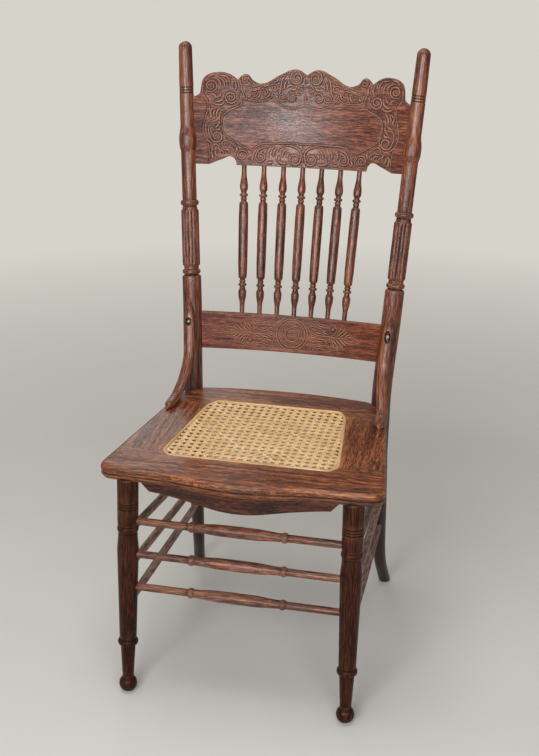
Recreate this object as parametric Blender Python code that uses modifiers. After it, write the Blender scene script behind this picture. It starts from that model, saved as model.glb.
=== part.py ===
"""Pressed back side chair with a cane seat, built as separate wooden pieces with real joints.

Units are metres, +Z is up, the front of the chair faces -Y and +X is to the right as seen from the front.
Pieces are laid out on a seat datum and hang on one frame empty, which brings the middle of the chair's
footprint to the origin. Places given for one side are on the +X side, and the other side mirrors them.
"""

import math

import bmesh
import bpy
from mathutils import Matrix, Vector

# Overall sizes
SEAT_HEIGHT = 0.440
SEAT_THICKNESS = 0.024
POST_RISE = 0.660

# Fits between pieces
GAP = 0.0003
BORE_SIDES = 12

# Seat outline
SEAT_FRONT_Y = -0.215
SEAT_FRONT_BOW = 0.018
SEAT_BOW_REACH = 0.165
SEAT_FRONT_HALF = 0.2525
SEAT_CORNER_Y = -0.195
SEAT_CORNER_RADIUS = 0.026
SEAT_CORNER_EASE = 0.002
SEAT_SIDE_REAR_X = 0.208
SEAT_SIDE_REAR_Y = 0.138
SEAT_REAR_HALF = 0.172
SEAT_REAR_Y = 0.178
SEAT_REAR_BOW = 0.0155
SEAT_EDGE_ROUND = 0.005

# Seat frame joints and the cane opening
FRONT_JOINT_Y = -0.128
REAR_JOINT_Y = 0.095
OPENING_REAR_HALF = 0.124
OPENING_REAR_Y = 0.1175
OPENING_REAR_SIDE_HALF = 0.1385
OPENING_REAR_SIDE_Y = 0.090
OPENING_FRONT_SIDE_HALF = 0.162
OPENING_FRONT_SIDE_Y = -0.122
OPENING_FRONT_HALF = 0.146
OPENING_FRONT_Y = -0.1425
LEDGE_WIDTH = 0.010
LEDGE_DEPTH = 0.005
SEAT_DOWEL_RADIUS = 0.004
SEAT_DOWEL_LENGTH = 0.040
SEAT_DOWEL_SPACING = 0.026
SEAT_DOWEL_INSET = 0.009

# Cane
CANE_THICKNESS = 0.0016
CANE_PITCH = 0.0180
CANE_GAP = 0.0095
CANE_MARGIN = 0.011
SPLINE_WIDTH = 0.006

# Rear posts: where the axis runs, on the seat datum
POST_SEAT_X = 0.191
POST_SEAT_Y = 0.180
POST_BEND_RISE = 0.160
POST_BEND_X = 0.2001
POST_BEND_Y = 0.2163
POST_LEAN = math.radians(10.16)
POST_SPLAY = math.radians(3.39)
SHIN_HEIGHT = 0.200
SHIN_X = 0.1945
SHIN_Y = 0.1975
ANKLE_HEIGHT = 0.075
ANKLE_X = 0.1973
ANKLE_Y = 0.2135
REAR_FOOT_X = 0.206
REAR_FOOT_Y = 0.245
FLOOR_ALLOWANCE = 0.006

# Rear posts: turned sizes, heights above the seat top
POST_TOP_RADIUS = 0.0128
POST_DOME = 0.012
SWELL_RISE = 0.476
SWELL_RADIUS = 0.0170
SWELL_LENGTH = 0.050
POST_PLAIN_RADIUS = 0.0140
UPPER_BEAD_RISE = 0.357
LOWER_BEAD_RISE = 0.224
POST_BEAD_RADIUS = 0.0179
POST_BEAD_LENGTH = 0.013
REED_TOP_RISE = 0.341
REED_BOTTOM_RISE = 0.241
REED_RADIUS = 0.0173
POST_LOWER_RADIUS = 0.0188
REAR_KNEE_RADIUS = 0.0160
REAR_ANKLE_RADIUS = 0.0124
REAR_FOOT_RADIUS = 0.0118
POST_SIDES_RESOLUTION = 4

# Crest rail: heights along its lean, above the level of the lower post bead
CREST_THICKNESS = 0.016
CREST_BOW_DEPTH = 0.062
CREST_BOTTOM = 0.2120
CREST_SHOULDER = 0.339
CREST_PEAK = 0.3995
CREST_NOTCH = 0.389
CREST_DIP = 0.3705
CREST_KNOB = 0.3868
CREST_SCROLL = 0.3885
CREST_FOOT_NOTCH = 0.2285
CREST_PEAK_X = 0.0215
CREST_SLOPE_X = 0.0500
CREST_DIP_X = 0.0860
CREST_KNOB_X = 0.1180
CREST_KNOB_HALF = 0.0150
CREST_SCROLL_X = 0.1680
CREST_SCROLL_HALF = 0.0290
CREST_FOOT_X = 0.1285
CREST_FOOT_SCROLL = 0.0525
CREST_TENON_THICKNESS = 0.008
CREST_TENON_INSET = 0.014
CREST_TENON_PAST_AXIS = 0.002

# Lower back rail
SLAT_RISE = 0.1122
SLAT_LEAN = math.radians(13.8)
SLAT_HEIGHT = 0.074
SLAT_THICKNESS = 0.014
SLAT_BOW_DEPTH = 0.039
SLAT_TENON_THICKNESS = 0.007
SLAT_TENON_INSET = 0.010
SLAT_TENON_PAST_AXIS = 0.002

# Back spindles
SPINDLE_COUNT = 7
SPINDLE_LOWER_SPACING = 0.0347
SPINDLE_UPPER_SPACING = 0.0384
SPINDLE_TENON_RADIUS = 0.0038
SPINDLE_TENON_LENGTH = 0.012
SPINDLE_NECK_RADIUS = 0.0048
SPINDLE_NECK_LENGTH = 0.013
SPINDLE_BULB_RADIUS = 0.0080
SPINDLE_BULB_NEAR = 0.011
SPINDLE_BULB_FAR = 0.018
SPINDLE_COVE_RADIUS = 0.0055
SPINDLE_COVE_OFFSET = 0.005
SPINDLE_RING_RADIUS = 0.0084
SPINDLE_RING_LENGTH = 0.004
SPINDLE_RING_PLACE = 0.0570
SPINDLE_BODY_RADIUS = 0.0093
SPINDLE_BODY_OFFSET = 0.014
SPINDLE_STEPS = 8

# Front legs
LEG_INSET = 0.0521
LEG_SET_BACK = 0.016
LEG_SPLAY = 0.0022
LEG_RAKE = 0.0442
LEG_TOP_RADIUS = 0.0190
LEG_BEAD_DROP = 0.094
LEG_NECK_RADIUS = 0.0173
LEG_SHANK_RADIUS = 0.0193
LEG_SHANK_DROP = 0.137
LEG_TAPER_RADIUS = 0.0160
LEG_COLLAR_HEIGHT = 0.102
LEG_COLLAR_RADIUS = 0.0186
LEG_COLLAR_LENGTH = 0.012
LEG_CONE_RADIUS = 0.0136
LEG_ANKLE_RADIUS = 0.0100
LEG_BALL_HEIGHT = 0.0155
LEG_BALL_RADIUS = 0.0165
LEG_TENON_RADIUS = 0.0085
LEG_TENON_LENGTH = 0.015
LEG_STEPS = 14

# Front stretchers
FRONT_STRETCHER_DROP = 0.0791
FRONT_STRETCHER_STEP = 0.0630
FRONT_STRETCHER_RADIUS = 0.0068
FRONT_STRETCHER_BEAD_X = 0.084
FRONT_STRETCHER_BEAD_RADIUS = 0.0094
FRONT_STRETCHER_BEAD_LENGTH = 0.009
FRONT_STRETCHER_SWELL_RADIUS = 0.0104
FRONT_STRETCHER_STEPS = 9

# Side and rear stretchers
SIDE_STRETCHER_FRONT_DROP = 0.103
SIDE_STRETCHER_FRONT_STEP = 0.069
SIDE_STRETCHER_REAR_DROP = 0.157
SIDE_STRETCHER_REAR_STEP = 0.050
SIDE_STRETCHER_RADIUS = 0.0072
REAR_STRETCHER_DROP = 0.184
STRETCHER_TENON_RADIUS = 0.0052
STRETCHER_TENON_DEPTH = 0.011
STRETCHER_COUNT = 3

# Front apron and its glue blocks
APRON_SET_BACK = 0.012
APRON_THICKNESS = 0.018
APRON_LEG_INSET = 0.0209
APRON_END_SLANT = 0.019
APRON_END_DEPTH = 0.021
APRON_BELLY_DEPTH = 0.037
BLOCK_END_INSET = 0.0195
BLOCK_LENGTH = 0.050
BLOCK_SIDE = 0.018

# Hip brackets
BRACKET_FOOT_X = 0.2060
BRACKET_WIDTH = 0.022
BRACKET_THICKNESS = 0.016
BRACKET_TOP_RISE = 0.175
BRACKET_LEAVES_RISE = 0.088
BRACKET_LANDS_Y = 0.090
BRACKET_TIP_Y = 0.046
BRACKET_SINK = 0.0025
BRACKET_TIP_RADIUS = 0.0026
BRACKET_ARC_POINTS = 9

# Screws
SCREW_HEAD_RADIUS = 0.0046
SCREW_HEAD_HEIGHT = 0.0026
SCREW_SHANK_RADIUS = 0.0022
SCREW_SHANK_LENGTH = 0.0205
SCREW_STEPS = 8
UPPER_SCREW_RISE = 0.134
LOWER_SCREW_Y = 0.086
UPPER_SCREW_SINK = 0.0035
LOWER_SCREW_SINK = 0.0014
POST_SCREW_LENGTH = 0.044
POST_SCREW_SINK = 0.006

# Derived levels
SEAT_UNDERSIDE = SEAT_HEIGHT - SEAT_THICKNESS
SEAT_MIDDLE = SEAT_HEIGHT - SEAT_THICKNESS / 2
LOWER_BEAD_HEIGHT = SEAT_HEIGHT + LOWER_BEAD_RISE
POST_BEND_HEIGHT = SEAT_HEIGHT + POST_BEND_RISE
POST_TOP_HEIGHT = SEAT_HEIGHT + POST_RISE
SEAT_ROUND_X = SEAT_FRONT_HALF - SEAT_CORNER_RADIUS
LEG_TOP_X = SEAT_FRONT_HALF - LEG_INSET
LEG_TOP_Y = SEAT_FRONT_Y + LEG_SET_BACK
LEG_FOOT_X = LEG_TOP_X + LEG_SPLAY
LEG_FOOT_Y = LEG_TOP_Y - LEG_RAKE
APRON_TOP_HALF = LEG_TOP_X - APRON_LEG_INSET
BLOCK_OUTER_X = APRON_TOP_HALF - BLOCK_END_INSET
FRONT_STRETCHER_TOP = SEAT_UNDERSIDE - FRONT_STRETCHER_DROP
SIDE_STRETCHER_FRONT_TOP = SEAT_UNDERSIDE - SIDE_STRETCHER_FRONT_DROP
SIDE_STRETCHER_REAR_TOP = SEAT_UNDERSIDE - SIDE_STRETCHER_REAR_DROP
REAR_STRETCHER_HEIGHT = SEAT_UNDERSIDE - REAR_STRETCHER_DROP
SIDES = (("left", -1), ("right", 1))


for old in list(bpy.data.objects):
    bpy.data.objects.remove(old, do_unlink=True)


def new_collection(name):
    collection = bpy.data.collections.new(name)
    bpy.context.scene.collection.children.link(collection)
    return collection


PARTS = new_collection("pressed_back_chair")
CUTTERS = new_collection("cutters")
CUTTERS.hide_render = True
FRAME = bpy.data.objects.new("chair_frame", None)
PARTS.objects.link(FRAME)


def new_material(name, colour, roughness, metallic=0.0):
    material = bpy.data.materials.new(name)
    material.use_nodes = True
    shader = material.node_tree.nodes["Principled BSDF"]
    shader.inputs["Base Color"].default_value = (*colour, 1.0)
    shader.inputs["Roughness"].default_value = roughness
    shader.inputs["Metallic"].default_value = metallic
    return material


POST_OAK = new_material("post_oak", (0.118, 0.043, 0.026), 0.35)
RAIL_OAK = new_material("rail_oak", (0.150, 0.062, 0.042), 0.38)
SEAT_OAK = new_material("seat_oak", (0.112, 0.042, 0.027), 0.36)
LEG_OAK = new_material("leg_oak", (0.060, 0.022, 0.016), 0.35)
STRETCHER_OAK = new_material("stretcher_oak", (0.118, 0.052, 0.036), 0.42)
WORN_OAK = new_material("worn_oak", (0.105, 0.070, 0.056), 0.55)
HIDDEN_OAK = new_material("hidden_oak", (0.240, 0.140, 0.080), 0.60)
CANE = new_material("cane", (0.610, 0.420, 0.190), 0.50)
STEEL = new_material("screw_steel", (0.620, 0.610, 0.590), 0.30, 1.0)


def place(name, mesh, collection, material=None):
    """A mesh object of this name, hung on the chair's frame."""
    obj = bpy.data.objects.new(name, mesh)
    collection.objects.link(obj)
    obj.parent = FRAME
    if material:
        mesh.materials.append(material)
    return obj


def part(name, mesh, material):
    return place(name, mesh, PARTS, material)


def cutter(name, mesh):
    obj = place(name, mesh, CUTTERS)
    obj.hide_render = True
    obj.display_type = "WIRE"
    return obj


def boolean(target, tool, operation="DIFFERENCE"):
    modifier = target.modifiers.new(f"{operation.lower()} {tool.name}", "BOOLEAN")
    modifier.operation = operation
    modifier.solver = "EXACT"
    modifier.object = tool


def curve_to_mesh(name, curve):
    """The mesh of a curve, with its caps welded to its sides and its faces pointing out."""
    holder = bpy.data.objects.new(name, curve)
    bpy.context.scene.collection.objects.link(holder)
    bpy.context.view_layer.update()
    evaluated = holder.evaluated_get(bpy.context.evaluated_depsgraph_get())
    mesh = bpy.data.meshes.new_from_object(evaluated)
    bpy.data.objects.remove(holder, do_unlink=True)
    bpy.data.curves.remove(curve)
    work = bmesh.new()
    work.from_mesh(mesh)
    bmesh.ops.remove_doubles(work, verts=work.verts, dist=0.00002)
    bmesh.ops.recalc_face_normals(work, faces=work.faces)
    work.to_mesh(mesh)
    work.free()
    mesh.name = name
    return mesh


def plate_mesh(name, outlines, thickness, edge_round=0.0):
    """A flat plate about the XY plane. The first outline is its edge and the others are holes in it."""
    curve = bpy.data.curves.new(name, "CURVE")
    curve.dimensions = "2D"
    curve.fill_mode = "BOTH"
    curve.extrude = thickness / 2 - edge_round
    curve.bevel_depth = edge_round
    curve.bevel_resolution = 1
    curve.offset = -edge_round
    for outline in outlines:
        spline = curve.splines.new("POLY")
        spline.points.add(len(outline) - 1)
        for point, (x, y) in zip(spline.points, outline):
            point.co = (x, y, 0.0, 1.0)
        spline.use_cyclic_u = True
    return curve_to_mesh(name, curve)


def bezier_outline(knots, resolution):
    """Points round a closed outline. Each knot is x, y and whether the outline turns a sharp corner there."""
    curve = bpy.data.curves.new("outline", "CURVE")
    curve.dimensions = "2D"
    curve.fill_mode = "NONE"
    curve.resolution_u = resolution
    spline = curve.splines.new("BEZIER")
    spline.bezier_points.add(len(knots) - 1)
    for point, (x, y, corner) in zip(spline.bezier_points, knots):
        point.co = (x, y, 0.0)
        kind = "VECTOR" if corner else "AUTO"
        point.handle_left_type = kind
        point.handle_right_type = kind
    spline.use_cyclic_u = True
    mesh = curve_to_mesh("outline", curve)
    points = [(vertex.co.x, vertex.co.y) for vertex in mesh.vertices]
    bpy.data.meshes.remove(mesh)
    return points


def mirrored(half):
    """A closed outline from its +X half, listed from the middle of one side to the middle of the other."""
    other = [(-x, *rest) for x, *rest in reversed(half) if x > GAP]
    return list(half) + other


def tube_mesh(name, points, radii, resolution):
    """A round bar along the points, with a radius of its own at each."""
    curve = bpy.data.curves.new(name, "CURVE")
    curve.dimensions = "3D"
    curve.bevel_depth = 1.0
    curve.bevel_resolution = resolution
    curve.use_fill_caps = True
    spline = curve.splines.new("POLY")
    spline.points.add(len(points) - 1)
    for point, place_at, radius in zip(spline.points, points, radii):
        point.co = (*place_at, 1.0)
        point.radius = radius
    mesh = curve_to_mesh(name, curve)
    mesh.shade_smooth()
    return mesh


def turned_mesh(name, profile):
    """The half section of a turned piece, as radius and height from the top down to the bottom."""
    mesh = bpy.data.meshes.new(name)
    vertices = [(radius, 0.0, height) for radius, height in profile]
    edges = [(i, i + 1) for i in range(len(profile) - 1)]
    mesh.from_pydata(vertices, edges, [])
    return mesh


def turn(obj, steps):
    screw = obj.modifiers.new("turned", "SCREW")
    screw.axis = "Z"
    screw.steps = steps
    screw.render_steps = steps
    screw.use_merge_vertices = True
    screw.merge_threshold = 0.00001
    screw.use_smooth_shade = True


def aim(obj, start, end):
    """Puts an object's origin at start and points its +Z at end."""
    obj.location = start
    obj.rotation_euler = (end - start).to_track_quat("Z", "Y").to_euler()


def cylinder_cutter(name, start, end, radius):
    """A round drill whose flats clear a shank of this radius by the gap."""
    length = (end - start).length
    work = bmesh.new()
    clear = (radius + GAP) / math.cos(math.pi / BORE_SIDES)
    lift = Matrix.Translation((0.0, 0.0, length / 2))
    bmesh.ops.create_cone(work, cap_ends=True, segments=BORE_SIDES, radius1=clear, radius2=clear,
                          depth=length, matrix=lift)
    mesh = bpy.data.meshes.new(name)
    work.to_mesh(mesh)
    work.free()
    obj = cutter(name, mesh)
    aim(obj, start, end)
    return obj


def box_mesh(name, low, high):
    work = bmesh.new()
    middle = Matrix.Translation((Vector(low) + Vector(high)) / 2)
    size = Matrix.Diagonal((*(Vector(high) - Vector(low)), 1.0))
    bmesh.ops.create_cube(work, size=1.0, matrix=middle @ size)
    mesh = bpy.data.meshes.new(name)
    work.to_mesh(mesh)
    work.free()
    return mesh


def side(point, sign):
    """A place on the +X side, or its mirror place on the other side."""
    return Vector((sign * point[0], point[1], point[2]))


def hermite(knots, level):
    """A smooth value through knots of level and value, with the level rising, ending in straight runs."""
    slopes = []
    for i in range(len(knots)):
        before = knots[max(i - 1, 0)]
        after = knots[min(i + 1, len(knots) - 1)]
        slopes.append((after[1] - before[1]) / (after[0] - before[0]))
    slopes[-1] = (knots[-1][1] - knots[-2][1]) / (knots[-1][0] - knots[-2][0])
    i = 0
    while i < len(knots) - 2 and level > knots[i + 1][0]:
        i += 1
    span = knots[i + 1][0] - knots[i][0]
    t = min(max((level - knots[i][0]) / span, 0.0), 1.0)
    past = level - min(max(level, knots[0][0]), knots[-1][0])
    rest = slopes[-1] if past > 0 else slopes[0]
    value = (2 * t**3 - 3 * t**2 + 1) * knots[i][1] + (t**3 - 2 * t**2 + t) * span * slopes[i]
    value += (3 * t**2 - 2 * t**3) * knots[i + 1][1] + (t**3 - t**2) * span * slopes[i + 1]
    return value + past * rest


def post_axis(height):
    """Where the middle of the right rear post is at this height."""
    if height >= POST_BEND_HEIGHT:
        rise = height - POST_BEND_HEIGHT
        x = POST_BEND_X + rise * math.tan(POST_SPLAY)
        y = POST_BEND_Y + rise * math.tan(POST_LEAN)
        return Vector((x, y, height))
    lower = (
        (0.0, REAR_FOOT_X, REAR_FOOT_Y),
        (ANKLE_HEIGHT, ANKLE_X, ANKLE_Y),
        (SHIN_HEIGHT, SHIN_X, SHIN_Y),
        (SEAT_HEIGHT, POST_SEAT_X, POST_SEAT_Y),
        (POST_BEND_HEIGHT, POST_BEND_X, POST_BEND_Y),
    )
    x = hermite([(z, x) for z, x, y in lower], height)
    y = hermite([(z, y) for z, x, y in lower], height)
    return Vector((x, y, height))


def bead(middle, length, radius, root):
    """Heights and radii over a half round bead that stands on a shaft of the root radius."""
    steps = (-0.5, -0.35, 0.0, 0.35, 0.5)
    return [(middle + k * length, root + (radius - root) * math.sqrt(1 - (2 * k) ** 2)) for k in steps]


def post_sections():
    """Height and radius of the rear post at each change of its turning, from the foot up."""
    rises = [(POST_BEND_RISE, POST_LOWER_RADIUS), (LOWER_BEAD_RISE - 0.020, POST_LOWER_RADIUS)]
    rises += [(LOWER_BEAD_RISE - 0.009, POST_PLAIN_RADIUS + 0.002)]
    rises += bead(LOWER_BEAD_RISE, POST_BEAD_LENGTH, POST_BEAD_RADIUS, POST_PLAIN_RADIUS)
    rises += [(REED_BOTTOM_RISE - 0.004, POST_PLAIN_RADIUS), (REED_BOTTOM_RISE, REED_RADIUS)]
    rises += [(REED_TOP_RISE, REED_RADIUS), (REED_TOP_RISE + 0.004, POST_PLAIN_RADIUS + 0.001)]
    rises += bead(UPPER_BEAD_RISE, POST_BEAD_LENGTH, POST_BEAD_RADIUS, POST_PLAIN_RADIUS)
    rises += [(SWELL_RISE - SWELL_LENGTH / 2, POST_PLAIN_RADIUS)]
    rises += [(SWELL_RISE - SWELL_LENGTH / 4, SWELL_RADIUS - 0.0006), (SWELL_RISE, SWELL_RADIUS)]
    rises += [(SWELL_RISE + SWELL_LENGTH / 4, SWELL_RADIUS - 0.0012)]
    rises += [(SWELL_RISE + SWELL_LENGTH / 2, POST_PLAIN_RADIUS - 0.0006)]
    rises += [(POST_RISE - POST_DOME, POST_TOP_RADIUS)]
    for turn_angle in (0.45, 0.9, 1.3):
        dome_height = POST_RISE - POST_DOME + POST_DOME * math.sin(turn_angle)
        rises.append((dome_height, POST_TOP_RADIUS * math.cos(turn_angle)))
    sections = [(-FLOOR_ALLOWANCE, REAR_FOOT_RADIUS), (ANKLE_HEIGHT / 2, REAR_FOOT_RADIUS)]
    sections += [(ANKLE_HEIGHT, REAR_ANKLE_RADIUS)]
    knee = SHIN_HEIGHT + (SEAT_UNDERSIDE - SHIN_HEIGHT) / 2
    sections += [(SHIN_HEIGHT, (REAR_ANKLE_RADIUS + REAR_KNEE_RADIUS) / 2), (knee, REAR_KNEE_RADIUS)]
    sections += [(SEAT_UNDERSIDE, POST_LOWER_RADIUS), (SEAT_HEIGHT, POST_LOWER_RADIUS)]
    sections += [(SEAT_HEIGHT + POST_BEND_RISE / 2, POST_LOWER_RADIUS)]
    return sections + [(SEAT_HEIGHT + rise, radius) for rise, radius in rises]


def post_radius(height):
    """The radius of the post's turning at this height."""
    sections = post_sections()
    for (low, low_radius), (high, high_radius) in zip(sections, sections[1:]):
        if low <= height <= high:
            return low_radius + (high_radius - low_radius) * (height - low) / (high - low)
    return POST_LOWER_RADIUS


def post_mesh(name, sign, grow=0.0):
    sections = post_sections()
    points = [side(post_axis(height), sign) for height, radius in sections]
    return tube_mesh(name, points, [radius + grow for height, radius in sections], POST_SIDES_RESOLUTION)


def bow_radius(half_chord, depth):
    """The radius of an arc that rises this depth over its chord."""
    return (half_chord**2 + depth**2) / (2 * depth)


def bow(x, radius, half_chord):
    """How far behind its chord a bowed board lies."""
    return math.sqrt(radius**2 - x**2) - math.sqrt(radius**2 - half_chord**2)


def band_mesh(name, radius, half_chord, thickness, end_x, bottom, top, steps):
    """A bowed band of even height, in its own frame: X across, Y to the back, Z up."""
    centre = -math.sqrt(radius**2 - half_chord**2)
    half_angle = math.asin(end_x / radius)
    angles = [half_angle * (2 * i / steps - 1) for i in range(steps + 1)]
    near = radius - thickness / 2
    far = radius + thickness / 2
    outline = [(near * math.sin(a), centre + near * math.cos(a)) for a in angles]
    outline += [(far * math.sin(a), centre + far * math.cos(a)) for a in reversed(angles)]
    mesh = plate_mesh(name, [outline], top - bottom)
    mesh.transform(Matrix.Translation((0.0, 0.0, (top + bottom) / 2)))
    return mesh


def elevation_mesh(name, outline, depth):
    """A front view outline carried straight back and forth along Y."""
    mesh = plate_mesh(name, [outline], depth)
    mesh.transform(Matrix.Rotation(math.pi / 2, 4, "X"))
    return mesh


def lean(obj, origin, angle):
    """Sets a board's own frame upright at its origin and tips it back."""
    obj.location = origin
    obj.rotation_euler = (-angle, 0.0, 0.0)


def board_point(origin, angle, x, up, back):
    """Where a point of a leaning board's own frame lies in the chair."""
    turn_back = Matrix.Rotation(-angle, 3, "X")
    return Vector(origin) + turn_back @ Vector((x, back, up))


CREST_ORIGIN = Vector((0.0, post_axis(LOWER_BEAD_HEIGHT).y, LOWER_BEAD_HEIGHT))
SLAT_LEVEL = SEAT_HEIGHT + SLAT_RISE
SLAT_ORIGIN = Vector((0.0, post_axis(SLAT_LEVEL).y, SLAT_LEVEL))
SLAT_HALF_CHORD = post_axis(SLAT_LEVEL).x
SLAT_BOW_RADIUS = bow_radius(SLAT_HALF_CHORD, SLAT_BOW_DEPTH)
CREST_MIDDLE_RISE = (CREST_BOTTOM + CREST_SHOULDER) / 2 * math.cos(POST_LEAN)
CREST_HALF_CHORD = post_axis(LOWER_BEAD_HEIGHT + CREST_MIDDLE_RISE).x
CREST_BOW_RADIUS = bow_radius(CREST_HALF_CHORD, CREST_BOW_DEPTH)


def crest_point(x, up):
    back = bow(x, CREST_BOW_RADIUS, CREST_HALF_CHORD)
    return board_point(CREST_ORIGIN, POST_LEAN, x, up, back)


def slat_point(x, up):
    back = bow(x, SLAT_BOW_RADIUS, SLAT_HALF_CHORD)
    return board_point(SLAT_ORIGIN, SLAT_LEAN, x, up, back)


def crest_outline():
    """The scrolled front view of the crest rail, running on to the middle of each post."""
    top_end = post_axis(crest_point(0.0, CREST_SHOULDER).z).x
    bottom_end = post_axis(crest_point(0.0, CREST_BOTTOM).z).x
    knob_end = CREST_KNOB_X + CREST_KNOB_HALF
    scroll_end = CREST_SCROLL_X + CREST_SCROLL_HALF
    scroll_drop = CREST_SCROLL - CREST_SHOULDER
    foot_end = CREST_FOOT_X + CREST_FOOT_SCROLL
    foot_rise = CREST_FOOT_NOTCH - CREST_BOTTOM
    half = [
        (0.0, CREST_NOTCH, True),
        (CREST_PEAK_X, CREST_PEAK, False),
        (CREST_SLOPE_X, CREST_NOTCH, False),
        (CREST_DIP_X, CREST_DIP, False),
        (CREST_KNOB_X - CREST_KNOB_HALF, CREST_DIP + 0.004, False),
        (CREST_KNOB_X, CREST_KNOB, False),
        (knob_end, CREST_DIP + 0.005, True),
        (CREST_SCROLL_X - CREST_SCROLL_HALF * 0.6, CREST_SCROLL - 0.002, False),
        (CREST_SCROLL_X, CREST_SCROLL, False),
        (CREST_SCROLL_X + CREST_SCROLL_HALF * 0.76, CREST_SCROLL - scroll_drop * 0.17, False),
        (scroll_end, CREST_SCROLL - scroll_drop * 0.5, False),
        (scroll_end - 0.001, CREST_SHOULDER + scroll_drop * 0.24, True),
        ((scroll_end + top_end) / 2 - 0.004, CREST_SHOULDER + 0.003, False),
        (top_end, CREST_SHOULDER, True),
        (bottom_end, CREST_BOTTOM, True),
        (foot_end, CREST_BOTTOM, True),
        (foot_end - CREST_FOOT_SCROLL * 0.42, CREST_BOTTOM + foot_rise * 0.6, False),
        (CREST_FOOT_X + CREST_FOOT_SCROLL * 0.22, CREST_FOOT_NOTCH, False),
        (CREST_FOOT_X + CREST_FOOT_SCROLL * 0.04, CREST_BOTTOM + foot_rise * 0.55, False),
        (CREST_FOOT_X, CREST_BOTTOM, True),
    ]
    return bezier_outline(mirrored(half), 3)


def make_posts():
    floor = cutter("floor_cut", box_mesh("floor_cut", (-1.0, -1.0, -0.1), (1.0, 1.0, 0.0)))
    posts = {}
    for name, sign in SIDES:
        post = part(f"rear_post_{name}", post_mesh(f"rear_post_{name}", sign), POST_OAK)
        boolean(post, floor)
        posts[sign] = post
    return posts, floor


def make_crest(posts):
    top = CREST_PEAK + CREST_THICKNESS
    bottom = CREST_BOTTOM - CREST_THICKNESS
    end_x = post_axis(crest_point(0.0, CREST_SHOULDER).z).x + CREST_THICKNESS
    body = band_mesh("crest_rail", CREST_BOW_RADIUS, CREST_HALF_CHORD, CREST_THICKNESS, end_x,
                     bottom, top, 22)
    outline = cutter("crest_outline", elevation_mesh("crest_outline", crest_outline(), 2 * CREST_HALF_CHORD))
    lean(outline, CREST_ORIGIN, POST_LEAN)
    low = CREST_BOTTOM + CREST_TENON_INSET
    high = CREST_SHOULDER - CREST_TENON_INSET
    tenon_x = post_axis(crest_point(0.0, (low + high) / 2).z).x + CREST_TENON_PAST_AXIS
    core = band_mesh("crest_core", CREST_BOW_RADIUS, CREST_HALF_CHORD, CREST_TENON_THICKNESS,
                     tenon_x, low, high, 22)
    mortise = band_mesh("crest_mortise", CREST_BOW_RADIUS, CREST_HALF_CHORD, CREST_TENON_THICKNESS + 2 * GAP,
                        tenon_x + 2 * GAP, low - GAP, high + GAP, 22)
    crest = part("crest_rail", body, RAIL_OAK)
    boolean(crest, outline, "INTERSECT")
    tenon_board(crest, core, mortise, posts, CREST_ORIGIN, POST_LEAN)
    return crest


def tenon_board(board, core, mortise, posts, origin, angle):
    """Scribes a bowed board to both posts and runs its thin core on into them as tenons."""
    lean(board, origin, angle)
    for side_name, sign in SIDES:
        scribe_name = f"{board.name}_scribe_{side_name}"
        boolean(board, cutter(scribe_name, post_mesh(scribe_name, sign, GAP)))
    core_tool = cutter(f"{board.name}_tenons", core)
    mortise_tool = cutter(f"{board.name}_mortises", mortise)
    lean(core_tool, origin, angle)
    lean(mortise_tool, origin, angle)
    boolean(board, core_tool, "UNION")
    for post in posts.values():
        boolean(post, mortise_tool)


def make_slat(posts):
    half = SLAT_HEIGHT / 2
    end_x = post_axis(SLAT_LEVEL).x
    body = band_mesh("lower_back_rail", SLAT_BOW_RADIUS, SLAT_HALF_CHORD, SLAT_THICKNESS, end_x,
                     -half, half, 16)
    low = SLAT_TENON_INSET - half
    tenon_x = end_x + SLAT_TENON_PAST_AXIS
    core = band_mesh("slat_core", SLAT_BOW_RADIUS, SLAT_HALF_CHORD, SLAT_TENON_THICKNESS, tenon_x,
                     low, -low, 16)
    mortise = band_mesh("slat_mortise", SLAT_BOW_RADIUS, SLAT_HALF_CHORD, SLAT_TENON_THICKNESS + 2 * GAP,
                        tenon_x + 2 * GAP, low - GAP, GAP - low, 16)
    slat = part("lower_back_rail", body, RAIL_OAK)
    tenon_board(slat, core, mortise, posts, SLAT_ORIGIN, SLAT_LEAN)
    return slat


def spindle_profile(length, foot_tilt, head_tilt):
    """Half section of a spindle whose tenons reach past both shoulders, which clear the tilt of the rails."""
    tenon = SPINDLE_TENON_RADIUS
    neck = SPINDLE_NECK_RADIUS
    cove = SPINDLE_COVE_RADIUS
    ring = SPINDLE_RING_RADIUS
    body = SPINDLE_BODY_RADIUS
    bulb = SPINDLE_BULB_RADIUS
    top = length - GAP - neck * math.tan(head_tilt)
    low = GAP + neck * math.tan(foot_tilt)
    upper = length - SPINDLE_RING_PLACE
    lower = SPINDLE_RING_PLACE
    half_ring = SPINDLE_RING_LENGTH / 2
    shape = [(0.0, length + SPINDLE_TENON_LENGTH), (tenon, length + SPINDLE_TENON_LENGTH), (tenon, top)]
    shape += [(neck, top), (neck, length - SPINDLE_NECK_LENGTH)]
    shape += [(bulb, upper + SPINDLE_BULB_FAR), (bulb, upper + SPINDLE_BULB_NEAR)]
    shape += [(cove, upper + SPINDLE_COVE_OFFSET), (ring, upper + half_ring), (ring, upper - half_ring)]
    shape += [(cove, upper - SPINDLE_COVE_OFFSET), (body, upper - SPINDLE_BODY_OFFSET), (body, length / 2)]
    shape += [(body, lower + SPINDLE_BODY_OFFSET), (cove, lower + SPINDLE_COVE_OFFSET)]
    shape += [(ring, lower + half_ring), (ring, lower - half_ring), (cove, lower - SPINDLE_COVE_OFFSET)]
    shape += [(bulb, lower - SPINDLE_BULB_NEAR), (bulb, lower - SPINDLE_BULB_FAR)]
    shape += [(neck, SPINDLE_NECK_LENGTH), (neck, low), (tenon, low)]
    return shape + [(tenon, -SPINDLE_TENON_LENGTH), (0.0, -SPINDLE_TENON_LENGTH)]


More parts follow.
